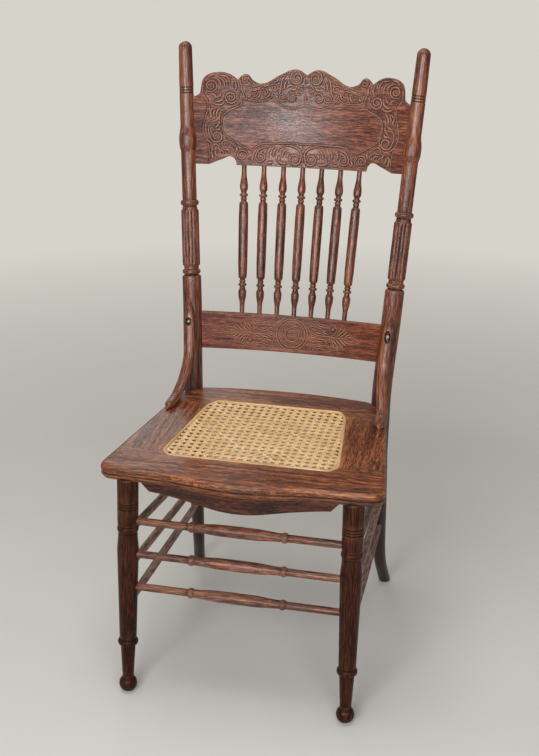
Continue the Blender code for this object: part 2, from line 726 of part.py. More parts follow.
def make_spindles(crest, slat):
    for number in range(SPINDLE_COUNT):
        place_index = number - (SPINDLE_COUNT - 1) / 2
        foot = slat_point(place_index * SPINDLE_LOWER_SPACING, SLAT_HEIGHT / 2)
        head = crest_point(place_index * SPINDLE_UPPER_SPACING, CREST_BOTTOM)
        name = f"back_spindle_{number + 1}"
        along = (head - foot).normalized()
        foot_tilt = along.angle(slat_point(0.0, 1.0) - slat_point(0.0, 0.0))
        head_tilt = along.angle(crest_point(0.0, 1.0) - crest_point(0.0, 0.0))
        profile = spindle_profile((head - foot).length, foot_tilt, head_tilt)
        spindle = part(name, turned_mesh(name, profile), POST_OAK)
        turn(spindle, SPINDLE_STEPS)
        aim(spindle, foot, head)
        reach = along * (SPINDLE_TENON_LENGTH + 2 * GAP)
        clear = along * SPINDLE_TENON_LENGTH
        radius = SPINDLE_TENON_RADIUS
        boolean(slat, cylinder_cutter(f"{name}_foot_bore", foot - reach, foot + clear, radius))
        boolean(crest, cylinder_cutter(f"{name}_head_bore", head - clear, head + reach, radius))


def seat_front(x):
    """How far forward the serpentine front edge of the seat reaches at this place across it."""
    wave = 0.5 * (1 + math.cos(math.pi * min(abs(x) / SEAT_BOW_REACH, 1.0)))
    past = max(abs(x) - SEAT_BOW_REACH, 0.0) / (SEAT_ROUND_X - SEAT_BOW_REACH)
    return SEAT_FRONT_Y - SEAT_FRONT_BOW * wave + SEAT_CORNER_EASE * past**2


def seat_side(y):
    """The half width of the seat along its straight sides."""
    share = (y - SEAT_CORNER_Y) / (SEAT_SIDE_REAR_Y - SEAT_CORNER_Y)
    return SEAT_FRONT_HALF + share * (SEAT_SIDE_REAR_X - SEAT_FRONT_HALF)


def seat_outline():
    reach = SEAT_BOW_REACH
    half = [(reach * i / 8, seat_front(reach * i / 8)) for i in range(9)]
    round_y = seat_front(SEAT_ROUND_X) + SEAT_CORNER_RADIUS
    for i in range(5):
        angle = math.pi / 2 * (i / 4 - 1)
        x = SEAT_ROUND_X + SEAT_CORNER_RADIUS * math.cos(angle)
        half.append((x, round_y + SEAT_CORNER_RADIUS * math.sin(angle)))
    half += [(SEAT_SIDE_REAR_X, SEAT_SIDE_REAR_Y), (SEAT_REAR_HALF, SEAT_REAR_Y)]
    for share in (0.75, 0.5, 0.25, 0.0):
        half.append((SEAT_REAR_HALF * share, SEAT_REAR_Y + SEAT_REAR_BOW * (1 - share**2)))
    return mirrored(half)


def inset(outline, distance):
    """The outline of a convex shape, moved in on all sides, from points that run counter-clockwise."""
    count = len(outline)
    edges = []
    for i in range(count):
        start = Vector(outline[i])
        run = (Vector(outline[(i + 1) % count]) - start).normalized()
        edges.append((start + Vector((-run.y, run.x)) * distance, run))
    moved = []
    for i in range(count):
        start, run = edges[i - 1]
        other, other_run = edges[i]
        across = run.x * other_run.y - run.y * other_run.x
        step = ((other.x - start.x) * other_run.y - (other.y - start.y) * other_run.x) / across
        moved.append(tuple(start + run * step))
    return moved


OPENING = mirrored([
    (OPENING_FRONT_HALF, OPENING_FRONT_Y),
    (OPENING_FRONT_SIDE_HALF, OPENING_FRONT_SIDE_Y),
    (OPENING_REAR_SIDE_HALF, OPENING_REAR_SIDE_Y),
    (OPENING_REAR_HALF, OPENING_REAR_Y),
])


def make_seat_rails(posts):
    """The four rails are one seat outline parted at the joints, with the cane opening taken out."""
    slab_mesh = plate_mesh("seat_slab", [seat_outline()], SEAT_THICKNESS, SEAT_EDGE_ROUND)
    slab_mesh.transform(Matrix.Translation((0.0, 0.0, SEAT_MIDDLE)))
    slab = cutter("seat_slab", slab_mesh)
    rebate_mesh = plate_mesh("cane_rebate", [OPENING], 2 * LEDGE_DEPTH)
    rebate_mesh.transform(Matrix.Translation((0.0, 0.0, SEAT_HEIGHT)))
    rebate = cutter("cane_rebate", rebate_mesh)
    hole_mesh = plate_mesh("cane_hole", [inset(OPENING, LEDGE_WIDTH)], 2 * SEAT_THICKNESS)
    hole_mesh.transform(Matrix.Translation((0.0, 0.0, SEAT_MIDDLE)))
    hole = cutter("cane_hole", hole_mesh)

    low = SEAT_UNDERSIDE - SEAT_THICKNESS
    high = SEAT_HEIGHT + SEAT_THICKNESS
    wide = 2 * SEAT_FRONT_HALF
    blanks = {
        "seat_front_rail": ((-wide, -wide, low), (wide, FRONT_JOINT_Y - GAP / 2, high)),
        "seat_rear_rail": ((-wide, REAR_JOINT_Y + GAP / 2, low), (wide, wide, high)),
        "seat_side_rail_left": ((-wide, FRONT_JOINT_Y + GAP / 2, low), (0.0, REAR_JOINT_Y - GAP / 2, high)),
        "seat_side_rail_right": ((0.0, FRONT_JOINT_Y + GAP / 2, low), (wide, REAR_JOINT_Y - GAP / 2, high)),
    }
    rails = {}
    for name, (near, far) in blanks.items():
        rail = part(name, box_mesh(name, near, far), SEAT_OAK)
        boolean(rail, slab, "INTERSECT")
        boolean(rail, hole)
        boolean(rail, rebate)
        rails[name] = rail
    housing_mesh = plate_mesh("seat_housing", [seat_outline()], SEAT_THICKNESS + 2 * GAP)
    housing_mesh.transform(Matrix.Translation((0.0, 0.0, SEAT_MIDDLE)))
    housing = cutter("seat_housing", housing_mesh)
    for post in posts.values():
        boolean(post, housing)
    return rails


def make_seat_dowels(rails):
    """Two dowels across each corner joint of the seat frame."""
    joints = (("front", FRONT_JOINT_Y, "seat_front_rail"), ("rear", REAR_JOINT_Y, "seat_rear_rail"))
    for joint, joint_y, across in joints:
        inner = OPENING_FRONT_SIDE_HALF if joint == "front" else OPENING_REAR_SIDE_HALF
        middle = (inner + LEDGE_WIDTH / 2 + seat_side(joint_y)) / 2
        for side_name, sign in SIDES:
            for number in (1, 2):
                x = sign * (middle + (number - 1.5) * SEAT_DOWEL_SPACING)
                name = f"seat_dowel_{joint}_{side_name}_{number}"
                reach = Vector((0.0, SEAT_DOWEL_LENGTH / 2, 0.0))
                middle_point = Vector((x, joint_y, SEAT_UNDERSIDE + SEAT_DOWEL_INSET))
                radius = SEAT_DOWEL_RADIUS
                profile = [(0.0, SEAT_DOWEL_LENGTH), (radius * 0.8, SEAT_DOWEL_LENGTH)]
                profile += [(radius, SEAT_DOWEL_LENGTH - radius / 3), (radius, radius / 3)]
                profile += [(radius * 0.8, 0.0), (0.0, 0.0)]
                dowel = part(name, turned_mesh(name, profile), HIDDEN_OAK)
                turn(dowel, SCREW_STEPS)
                aim(dowel, middle_point - reach, middle_point + reach)
                deep = reach + Vector((0.0, GAP, 0.0))
                drill = cylinder_cutter(f"{name}_bore", middle_point - deep, middle_point + deep, radius)
                boolean(rails[across], drill)
                boolean(rails[f"seat_side_rail_{side_name}"], drill)


def make_cane():
    """The panel is a net of square gaps on the ledge, and the spline on its edge is flush with the seat."""
    edge = inset(OPENING, GAP)
    inner = inset(OPENING, CANE_MARGIN + CANE_GAP / 2)
    rows = int((OPENING_REAR_Y - OPENING_FRONT_Y - 2 * CANE_MARGIN) / CANE_PITCH)
    columns = int(OPENING_FRONT_SIDE_HALF / CANE_PITCH)
    middle_y = (OPENING_REAR_Y + OPENING_FRONT_Y) / 2
    gaps = []
    for row in range(rows):
        y = middle_y + (row - (rows - 1) / 2) * CANE_PITCH
        for column in range(-columns, columns + 1):
            x = column * CANE_PITCH
            if inside(inner, x, y):
                left, right = x - CANE_GAP / 2, x + CANE_GAP / 2
                near, far = y - CANE_GAP / 2, y + CANE_GAP / 2
                gaps.append([(left, near), (left, far), (right, far), (right, near)])
    panel = plate_mesh("cane_panel", [edge, *gaps], CANE_THICKNESS)
    ledge = SEAT_HEIGHT - LEDGE_DEPTH
    panel.transform(Matrix.Translation((0.0, 0.0, ledge + GAP + CANE_THICKNESS / 2)))
    part("cane_panel", panel, CANE)
    spline_low = ledge + 2 * GAP + CANE_THICKNESS
    spline = plate_mesh("cane_spline", [edge, inset(OPENING, GAP + SPLINE_WIDTH)], SEAT_HEIGHT - spline_low)
    spline.transform(Matrix.Translation((0.0, 0.0, (SEAT_HEIGHT + spline_low) / 2)))
    part("cane_spline", spline, CANE)
    print("cane gaps", len(gaps))


def inside(outline, x, y):
    """Whether a point lies within a convex outline that runs counter-clockwise."""
    for i, (ax, ay) in enumerate(outline):
        bx, by = outline[(i + 1) % len(outline)]
        if (bx - ax) * (y - ay) - (by - ay) * (x - ax) < 0:
            return False
    return True


def leg_axis(height):
    """Where the middle of the right front leg is at this height."""
    share = height / SEAT_UNDERSIDE
    x = LEG_FOOT_X + share * (LEG_TOP_X - LEG_FOOT_X)
    y = LEG_FOOT_Y + share * (LEG_TOP_Y - LEG_FOOT_Y)
    return Vector((x, y, height))


def leg_profile(length, tilt):
    """Half section of a front leg along its own axis, from the tenon in the seat to the ball foot."""
    shoulder = length - LEG_TOP_RADIUS * math.tan(tilt) - GAP
    bead_height = length - LEG_BEAD_DROP
    collar = LEG_COLLAR_HEIGHT
    top = length + LEG_TENON_LENGTH
    shape = [(0.0, top), (LEG_TENON_RADIUS, top), (LEG_TENON_RADIUS, shoulder)]
    shape += [(LEG_TOP_RADIUS - 0.001, shoulder), (LEG_TOP_RADIUS, shoulder - 0.002)]
    shape += [(LEG_TOP_RADIUS - 0.0004, bead_height + 0.008)]
    shape += [(LEG_TOP_RADIUS - 0.0012, bead_height + 0.004), (LEG_TOP_RADIUS, bead_height)]
    shape += [(LEG_NECK_RADIUS, bead_height - 0.007), (LEG_NECK_RADIUS, bead_height - 0.012)]
    shape += [(LEG_SHANK_RADIUS, length - LEG_SHANK_DROP), (LEG_TAPER_RADIUS, collar + 0.008)]
    collar_bead = bead(collar, LEG_COLLAR_LENGTH, LEG_COLLAR_RADIUS, LEG_CONE_RADIUS)
    shape += [(radius, height) for height, radius in reversed(collar_bead)]
    ball_top = LEG_BALL_HEIGHT + math.sqrt(LEG_BALL_RADIUS**2 - LEG_ANKLE_RADIUS**2)
    shape.append((LEG_ANKLE_RADIUS, ball_top))
    start = math.asin(LEG_ANKLE_RADIUS / LEG_BALL_RADIUS)
    for i in range(1, 7):
        angle = start + (math.pi - start) * i / 7
        shape.append((LEG_BALL_RADIUS * math.sin(angle), LEG_BALL_HEIGHT + LEG_BALL_RADIUS * math.cos(angle)))
    return shape + [(0.0, LEG_BALL_HEIGHT - LEG_BALL_RADIUS)]


def make_front_legs(rails, floor):
    legs = {}
    for side_name, sign in SIDES:
        foot = side(leg_axis(0.0), sign)
        top = side(leg_axis(SEAT_UNDERSIDE), sign)
        along = (top - foot).normalized()
        tilt = along.angle(Vector((0.0, 0.0, 1.0)))
        name = f"front_leg_{side_name}"
        leg = part(name, turned_mesh(name, leg_profile((top - foot).length, tilt)), LEG_OAK)
        turn(leg, LEG_STEPS)
        aim(leg, foot, top)
        boolean(leg, floor)
        reach = along * (LEG_TENON_LENGTH + GAP)
        start = top - along * LEG_TENON_LENGTH
        drill = cylinder_cutter(f"{name}_mortise", start, top + reach, LEG_TENON_RADIUS)
        boolean(rails["seat_front_rail"], drill)
        legs[sign] = leg
    return legs


def make_front_stretchers(legs):
    for number in range(STRETCHER_COUNT):
        height = FRONT_STRETCHER_TOP - number * FRONT_STRETCHER_STEP
        end = leg_axis(height)
        name = ("front_stretcher_upper", "front_stretcher_middle", "front_stretcher_lower")[number]
        shoulder = end.x - leg_radius(height) - GAP
        tenon_end = shoulder + STRETCHER_TENON_DEPTH
        half = [(0.0, tenon_end), (STRETCHER_TENON_RADIUS, tenon_end), (STRETCHER_TENON_RADIUS, shoulder)]
        half += [(FRONT_STRETCHER_RADIUS - 0.0006, shoulder), (FRONT_STRETCHER_RADIUS, shoulder - 0.003)]
        bead_x = FRONT_STRETCHER_BEAD_X
        half.append((FRONT_STRETCHER_RADIUS, bead_x + FRONT_STRETCHER_BEAD_LENGTH))
        shaped = bead(bead_x, FRONT_STRETCHER_BEAD_LENGTH, FRONT_STRETCHER_BEAD_RADIUS,
                      FRONT_STRETCHER_RADIUS)
        half += [(radius, x) for x, radius in reversed(shaped)]
        half.append((FRONT_STRETCHER_RADIUS + 0.0006, bead_x - FRONT_STRETCHER_BEAD_LENGTH))
        half.append((FRONT_STRETCHER_SWELL_RADIUS * 0.97, bead_x / 3))
        profile = half + [(radius, -x) for radius, x in reversed(half)]
        stretcher = part(name, turned_mesh(name, profile), STRETCHER_OAK)
        turn(stretcher, FRONT_STRETCHER_STEPS)
        middle = Vector((0.0, end.y, height))
        aim(stretcher, middle, middle + Vector((1.0, 0.0, 0.0)))
        for sign, leg in legs.items():
            start = side((end.x - 2 * LEG_TOP_RADIUS, end.y, height), sign)
            stop = side((tenon_end + GAP, end.y, height), sign)
            boolean(leg, cylinder_cutter(f"{name}_bore_{sign}", start, stop, STRETCHER_TENON_RADIUS))


def leg_radius(height):
    """The radius of a front leg's turning at this height along its axis."""
    top = leg_axis(SEAT_UNDERSIDE)
    axis = top - leg_axis(0.0)
    profile = [(h, r) for r, h in reversed(leg_profile(axis.length, axis.angle(Vector((0.0, 0.0, 1.0)))))]
    level = height * axis.length / SEAT_UNDERSIDE
    for (low, low_radius), (high, high_radius) in zip(profile, profile[1:]):
        if low <= level <= high and high > low:
            return low_radius + (high_radius - low_radius) * (level - low) / (high - low)
    return LEG_TOP_RADIUS


def rung(name, start, end, start_clear, end_clear, radius, material):
    """A plain round stretcher between two axes, shouldered clear of each piece and tenoned into both."""
    along = (end - start).normalized()
    length = (end - start).length
    low = start_clear + GAP
    high = length - end_clear - GAP
    depth = STRETCHER_TENON_DEPTH
    tenon = STRETCHER_TENON_RADIUS
    profile = [(0.0, high + depth), (tenon, high + depth), (tenon, high), (radius * 0.9, high)]
    profile += [(radius, high - 0.004), (radius * 1.04, length / 2), (radius, low + 0.004)]
    profile += [(radius * 0.9, low), (tenon, low), (tenon, low - depth), (0.0, low - depth)]
    bar = part(name, turned_mesh(name, profile), material)
    turn(bar, FRONT_STRETCHER_STEPS)
    aim(bar, start, end)
    inner_start = start + along * (low - depth - GAP)
    inner_end = start + along * (high + depth + GAP)
    far = along * (depth + LEG_TOP_RADIUS)
    return (inner_start, inner_start + far), (inner_end - far, inner_end)


def shoulder_clear(axis, height, radius, along):
    """How far from a round upright's axis the square shoulder of a bar running along clears the upright."""
    upright = axis(height + LEG_TOP_RADIUS) - axis(height - LEG_TOP_RADIUS)
    off_square = abs(math.pi / 2 - along.angle(upright))
    return radius / math.cos(off_square) + SIDE_STRETCHER_RADIUS * math.tan(off_square)


def make_side_stretchers(legs, posts):
    for number in range(STRETCHER_COUNT):
        front_height = SIDE_STRETCHER_FRONT_TOP - number * SIDE_STRETCHER_FRONT_STEP
        rear_height = SIDE_STRETCHER_REAR_TOP - number * SIDE_STRETCHER_REAR_STEP
        start = leg_axis(front_height)
        end = post_axis(rear_height)
        front_clear = shoulder_clear(leg_axis, front_height, leg_radius(front_height), end - start)
        rear_clear = shoulder_clear(post_axis, rear_height, post_radius(rear_height), end - start)
        for side_name, sign in SIDES:
            name = f"side_stretcher_{side_name}_{('upper', 'middle', 'lower')[number]}"
            front_bore, rear_bore = rung(name, side(start, sign), side(end, sign), front_clear, rear_clear,
                                         SIDE_STRETCHER_RADIUS, WORN_OAK)
            boolean(legs[sign], cylinder_cutter(f"{name}_front_bore", *front_bore, STRETCHER_TENON_RADIUS))
            boolean(posts[sign], cylinder_cutter(f"{name}_rear_bore", *rear_bore, STRETCHER_TENON_RADIUS))


def make_rear_stretcher(posts):
    height = REAR_STRETCHER_HEIGHT
    start = side(post_axis(height), -1)
    end = post_axis(height)
    clear = shoulder_clear(post_axis, height, post_radius(height), end - start)
    bores = rung("rear_stretcher", start, end, clear, clear, SIDE_STRETCHER_RADIUS, STRETCHER_OAK)
    for (side_name, sign), bore in zip(SIDES, bores):
        drill = cylinder_cutter(f"rear_stretcher_bore_{side_name}", *bore, STRETCHER_TENON_RADIUS)
        boolean(posts[sign], drill)


def make_apron():
    """A board sawn to the seat's serpentine front, with a belly below and slanted ends."""
    steps = 16
    xs = [APRON_TOP_HALF * (2 * i / steps - 1) for i in range(steps + 1)]
    plan = [(x, seat_front(x) + APRON_SET_BACK) for x in xs]
    plan += [(x, seat_front(x) + APRON_SET_BACK + APRON_THICKNESS) for x in reversed(xs)]
    top = SEAT_UNDERSIDE - GAP
    body = plate_mesh("front_apron", [plan], 2 * APRON_BELLY_DEPTH)
    body.transform(Matrix.Translation((0.0, 0.0, top - APRON_BELLY_DEPTH)))
    end_x = APRON_TOP_HALF - APRON_END_SLANT
    half = [(0.0, top - APRON_BELLY_DEPTH, False), (end_x * 0.62, top - APRON_END_DEPTH - 0.006, False)]
    half += [(end_x, top - APRON_END_DEPTH, True), (APRON_TOP_HALF + GAP, top, True)]
    half.append((APRON_TOP_HALF + GAP, top + APRON_BELLY_DEPTH, True))
    outline = bezier_outline(mirrored(half), 5)
    apron = part("front_apron", body, SEAT_OAK)
    shape = cutter("apron_outline", elevation_mesh("apron_outline", outline, 4 * abs(SEAT_FRONT_Y)))
    boolean(apron, shape, "INTERSECT")
    for side_name, sign in SIDES:
        near = sign * (BLOCK_OUTER_X - BLOCK_LENGTH)
        far = sign * BLOCK_OUTER_X
        front = seat_front(BLOCK_OUTER_X) + APRON_SET_BACK + APRON_THICKNESS + GAP
        low = (min(near, far), front, top - BLOCK_SIDE)
        high = (max(near, far), front + BLOCK_SIDE, top)
        part(f"apron_block_{side_name}", box_mesh(f"apron_block_{side_name}", low, high), HIDDEN_OAK)


def bracket_x(height):
    """The bracket follows the middle of the post and flares out to the seat's edge below."""
    share = min(max((height - SEAT_HEIGHT) / BRACKET_LEAVES_RISE, 0.0), 1.0)
    flare = BRACKET_FOOT_X - post_axis(SEAT_HEIGHT).x
    return post_axis(height).x + flare * (1 - share) ** 2


def bracket_path():
    """Middle line and radius of the right hip bracket, from its upper point to its lower tip."""
    half = BRACKET_THICKNESS / 2
    away = POST_LOWER_RADIUS + half - BRACKET_SINK

    def beside_post(rise, push):
        at = post_axis(SEAT_HEIGHT + rise)
        return Vector((0.0, at.y - away - push, SEAT_HEIGHT + rise))

    top = beside_post(BRACKET_TOP_RISE, -half * 0.45)
    shoulder = beside_post(BRACKET_TOP_RISE - 0.016, -half * 0.12)
    leaves = beside_post(BRACKET_LEAVES_RISE, 0.0)
    down = (leaves - beside_post(BRACKET_LEAVES_RISE + 0.020, 0.0)).normalized()
    lands = Vector((0.0, BRACKET_LANDS_Y, SEAT_HEIGHT + half - BRACKET_SINK))
    pull = 1.25 * (leaves.z - lands.z)
    forward = Vector((0.0, -1.0, 0.0))
    path = [(top, BRACKET_TIP_RADIUS), (shoulder, half * 0.8), (beside_post(UPPER_SCREW_RISE, 0.0), half)]
    for i in range(BRACKET_ARC_POINTS + 1):
        t = i / BRACKET_ARC_POINTS
        point = (2 * t**3 - 3 * t**2 + 1) * leaves + (t**3 - 2 * t**2 + t) * pull * down
        point += (3 * t**2 - 2 * t**3) * lands + (t**3 - t**2) * pull * forward
        path.append((point, half))
    tip_run = BRACKET_LANDS_Y - BRACKET_TIP_Y
    for share, size in ((0.45, 0.97), (0.8, 0.75), (1.0, BRACKET_TIP_RADIUS / half)):
        drop = Vector((0.0, 0.0, half * (1 - size) * 0.75))
        path.append((lands + forward * tip_run * share - drop, half * size))
    return path


def bracket_mesh(name, sign):
    """A round bar made wider across the chair than it is thick."""
    path = bracket_path()
    mesh = tube_mesh(name, [point for point, radius in path], [radius for point, radius in path], 3)
    for vertex in mesh.vertices:
        across = vertex.co.x * BRACKET_WIDTH / BRACKET_THICKNESS
        vertex.co.x = across + sign * bracket_x(vertex.co.z)
    return mesh


def screw_mesh(name, shank_length):
    """A round head screw, with its head's flat at the origin and its point down."""
    head = SCREW_HEAD_RADIUS
    height = SCREW_HEAD_HEIGHT
    shank = SCREW_SHANK_RADIUS
    profile = [(0.0, height)]
    profile += [(head * math.sin(a), height * math.cos(a)) for a in (0.45, 0.9, 1.3)]
    profile += [(head, 0.0), (shank, 0.0), (shank, -shank_length * 0.8), (0.0, -shank_length)]
    return turned_mesh(name, profile)


def make_screw(name, seat, inward, shank_length, cuts):
    """A screw whose head bears at the seat point, driven inward, and its bores in the pieces it joins."""
    screw = part(name, screw_mesh(name, shank_length), STEEL)
    turn(screw, SCREW_STEPS)
    aim(screw, seat - inward * GAP, seat - inward)
    shank = cylinder_cutter(f"{name}_bore", seat - inward * GAP, seat + inward * (shank_length + GAP),
                            SCREW_SHANK_RADIUS)
    recess = cylinder_cutter(f"{name}_recess", seat, seat - inward * 0.03, SCREW_HEAD_RADIUS)
    for piece in cuts:
        boolean(piece, shank)
    boolean(cuts[0], recess)


def make_brackets(posts, rails):
    path = bracket_path()
    half = BRACKET_THICKNESS / 2
    level = SEAT_HEIGHT + UPPER_SCREW_RISE
    upper = min((point for point, radius in path), key=lambda point: abs(point.z - level))
    lower = min((point for point, radius in path), key=lambda point: abs(point.y - LOWER_SCREW_Y))
    seat_top = cutter("seat_top_clearance", box_mesh(
        "seat_top_clearance", (-1.0, -1.0, SEAT_UNDERSIDE), (1.0, 1.0, SEAT_HEIGHT + GAP)))
    lean_in = Vector((0.0, math.cos(SLAT_LEAN), -math.sin(SLAT_LEAN)))
    down = Vector((0.0, 0.0, -1.0))
    for side_name, sign in SIDES:
        name = f"hip_bracket_{side_name}"
        bracket = part(name, bracket_mesh(name, sign), POST_OAK)
        scribe_name = f"{name}_scribe"
        boolean(bracket, cutter(scribe_name, post_mesh(scribe_name, sign, GAP)))
        boolean(bracket, seat_top)
        upper_at = side((bracket_x(upper.z), upper.y, upper.z), sign)
        lower_at = side((bracket_x(lower.z), LOWER_SCREW_Y, lower.z), sign)
        upper_seat = upper_at - lean_in * (half - UPPER_SCREW_SINK)
        lower_seat = lower_at - down * (half - LOWER_SCREW_SINK)
        make_screw(f"bracket_screw_upper_{side_name}", upper_seat, lean_in, SCREW_SHANK_LENGTH,
                   (bracket, posts[sign]))
        make_screw(f"bracket_screw_lower_{side_name}", lower_seat, down, SCREW_SHANK_LENGTH,
                   (bracket, rails[f"seat_side_rail_{side_name}"]))


def make_post_screws(posts, rails):
    """A screw through each post into the corner of the seat, square to the corner's slanted face."""
    run = Vector((SEAT_REAR_HALF - SEAT_SIDE_REAR_X, SEAT_REAR_Y - SEAT_SIDE_REAR_Y, 0.0)).normalized()
    outward = Vector((run.y, -run.x, 0.0))
    for side_name, sign in SIDES:
        axis = post_axis(SEAT_MIDDLE)
        seat = axis + outward * (POST_LOWER_RADIUS - POST_SCREW_SINK)
        make_screw(f"seat_post_screw_{side_name}", side(seat, sign), side(-outward, sign), POST_SCREW_LENGTH,
                   (posts[sign], rails["seat_rear_rail"]))


def centre_footprint():
    """Moves the frame so that the origin is under the middle of the chair, on the floor."""
    bpy.context.view_layer.update()
    graph = bpy.context.evaluated_depsgraph_get()
    reaches = []
    for obj in PARTS.objects:
        if obj.type == "MESH":
            solid = obj.evaluated_get(graph)
            reaches += [(solid.matrix_world @ Vector(corner)).y for corner in solid.bound_box]
    FRAME.location.y = -(min(reaches) + max(reaches)) / 2
    print("frame moved", round(FRAME.location.y, 5))


def main():
    posts, floor = make_posts()
    rails = make_seat_rails(posts)
    crest = make_crest(posts)
    slat = make_slat(posts)
    make_spindles(crest, slat)
    make_seat_dowels(rails)
    make_cane()
    legs = make_front_legs(rails, floor)
    make_front_stretchers(legs)
    make_side_stretchers(legs, posts)
    make_rear_stretcher(posts)
    make_apron()
    make_brackets(posts, rails)
    make_post_screws(posts, rails)
    centre_footprint()


main()
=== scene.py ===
"""The looks of the pressed back chair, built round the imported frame.

Units are metres. Pieces are laid out on the same seat datum as the CAD source and carried to the row frame
by DATUM. Places given for one side are on the +X side, and the other side mirrors them.
"""

import math

import bmesh
import bpy
import numpy as np
from mathutils import Matrix, Vector
from mathutils.kdtree import KDTree


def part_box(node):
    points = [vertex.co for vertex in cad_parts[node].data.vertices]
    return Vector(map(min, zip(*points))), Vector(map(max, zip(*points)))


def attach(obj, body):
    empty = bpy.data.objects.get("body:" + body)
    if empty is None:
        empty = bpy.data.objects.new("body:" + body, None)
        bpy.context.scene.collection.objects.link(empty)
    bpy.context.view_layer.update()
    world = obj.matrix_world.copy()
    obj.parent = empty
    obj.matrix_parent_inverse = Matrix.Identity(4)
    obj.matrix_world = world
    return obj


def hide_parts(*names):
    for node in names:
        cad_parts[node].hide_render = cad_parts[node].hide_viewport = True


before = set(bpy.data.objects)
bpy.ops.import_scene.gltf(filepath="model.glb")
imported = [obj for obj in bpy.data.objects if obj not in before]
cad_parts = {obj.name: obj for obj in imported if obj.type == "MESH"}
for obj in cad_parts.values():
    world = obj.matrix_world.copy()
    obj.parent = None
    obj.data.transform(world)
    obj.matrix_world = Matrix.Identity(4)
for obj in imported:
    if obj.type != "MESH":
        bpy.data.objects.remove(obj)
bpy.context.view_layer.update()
MM = 0.001
RNG = np.random.default_rng(1905)

# Sizes repeated from the CAD source
SEAT_HEIGHT = 0.440
SEAT_THICKNESS = 0.024
SEAT_UNDERSIDE = SEAT_HEIGHT - SEAT_THICKNESS
SEAT_MIDDLE = SEAT_HEIGHT - SEAT_THICKNESS / 2
SEAT_FRONT_Y = -0.215
SEAT_FRONT_BOW = 0.018
SEAT_BOW_REACH = 0.165
SEAT_CORNER_RADIUS = 0.026
SEAT_CORNER_EASE = 0.002
SEAT_ROUND_X = 0.2525 - SEAT_CORNER_RADIUS
SEAT_SIDE_REAR = (0.208, 0.138)
SEAT_REAR_HALF = 0.172
SEAT_REAR_Y = 0.178
SEAT_REAR_BOW = 0.0155
FRONT_JOINT_Y = -0.128
REAR_JOINT_Y = 0.095
JOINT_GAP = 0.0003
OPENING_HALF = ((0.146, -0.1425), (0.162, -0.122), (0.1385, 0.090), (0.124, 0.1175))
LEDGE_WIDTH = 0.010
LEDGE_DEPTH = 0.005

POST_BEND_HEIGHT = 0.600
POST_BEND_X = 0.2001
POST_BEND_Y = 0.2163
POST_LEAN = math.radians(10.16)
POST_SPLAY = math.radians(3.39)
POST_HEIGHTS = (0.0, 0.075, 0.200, SEAT_HEIGHT, POST_BEND_HEIGHT)
POST_XS = (0.206, 0.1973, 0.1945, 0.191, POST_BEND_X)
POST_YS = (0.245, 0.2135, 0.1975, 0.180, POST_BEND_Y)
POST_LOWER_RADIUS = 0.0188

CREST_LEVEL = 0.664
CREST_THICKNESS = 0.016
CREST_BOW_DEPTH = 0.062
CREST_BOTTOM = 0.2120
CREST_SHOULDER = 0.339
CREST_END_X = 0.2165
SLAT_LEVEL = 0.5522
SLAT_LEAN = math.radians(13.8)
SLAT_HEIGHT = 0.074
SLAT_THICKNESS = 0.014
SLAT_BOW_DEPTH = 0.039

SPINDLE_COUNT = 7
SPINDLE_LOWER_SPACING = 0.0347
SPINDLE_UPPER_SPACING = 0.0384

LEG_TOP = (0.2004, -0.199, SEAT_UNDERSIDE)
LEG_FOOT = (0.2026, -0.2432, 0.0)
FRONT_STRETCHER_TOP = 0.3369
FRONT_STRETCHER_STEP = 0.063
SIDE_STRETCHER_FRONT = (0.313, 0.069)
SIDE_STRETCHER_REAR = (0.259, 0.050)
PLAIN_STRETCHER_RADIUS = 0.0072
REAR_STRETCHER_HEIGHT = 0.232

APRON_SET_BACK = 0.012
APRON_THICKNESS = 0.018
APRON_TOP_HALF = 0.1795
APRON_END_SLANT = 0.019
APRON_END_DEPTH = 0.021
APRON_BELLY_DEPTH = 0.037
BLOCK_OUTER_X = 0.160
BLOCK_LENGTH = 0.050
BLOCK_SIDE = 0.018

BRACKET_FOOT_X = 0.2060
BRACKET_WIDTH = 0.022
BRACKET_THICKNESS = 0.016
BRACKET_TOP_RISE = 0.175
BRACKET_LEAVES_RISE = 0.088
BRACKET_LANDS_Y = 0.090
BRACKET_TIP_Y = 0.046
BRACKET_SINK = 0.0025
UPPER_SCREW_RISE = 0.134
LOWER_SCREW_Y = 0.086
SCREW_HEAD_RADIUS = 0.0046
SCREW_HEAD_HEIGHT = 0.0026
UPPER_SCREW_SINK = 0.0035
LOWER_SCREW_SINK = 0.0014
POST_SCREW_SINK = 0.006
SIDES = (("left", -1), ("right", 1))

# The frame brings the chair's footprint to the origin, which moves the seat datum along Y
DATUM = np.array((0.0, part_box("seat_front_rail")[0].y - (SEAT_FRONT_Y - SEAT_FRONT_BOW), 0.0))


# Shared sums

def unit(vector):
    vector = np.asarray(vector, float)
    return vector / np.linalg.norm(vector, axis=-1, keepdims=True)


def mirror_x(point, sign):
    return np.asarray(point, float) * (sign, 1.0, 1.0)


def ramp(value, start, end):
    """A share that is 0 up to the start and 1 from the end on."""
    return np.clip((value - start) / (end - start), 0.0, 1.0)


def smooth(share):
    return share * share * (3 - 2 * share)


def hermite(t, start, leave, end, arrive):
    """A curve between two values that leaves the one and arrives at the other with these slopes."""
    curve = (2 * t**3 - 3 * t**2 + 1) * start + (t**3 - 2 * t**2 + t) * leave
    return curve + (3 * t**2 - 2 * t**3) * end + (t**3 - t**2) * arrive


def turns(count):
    """Angles once round a circle."""
    return np.arange(count) * math.tau / count


def lengths_along(line):
    return np.concatenate(([0.0], np.cumsum(np.linalg.norm(np.diff(line, axis=0), axis=1))))


def edges_of(outline):
    return zip(outline, np.roll(outline, -1, axis=0))


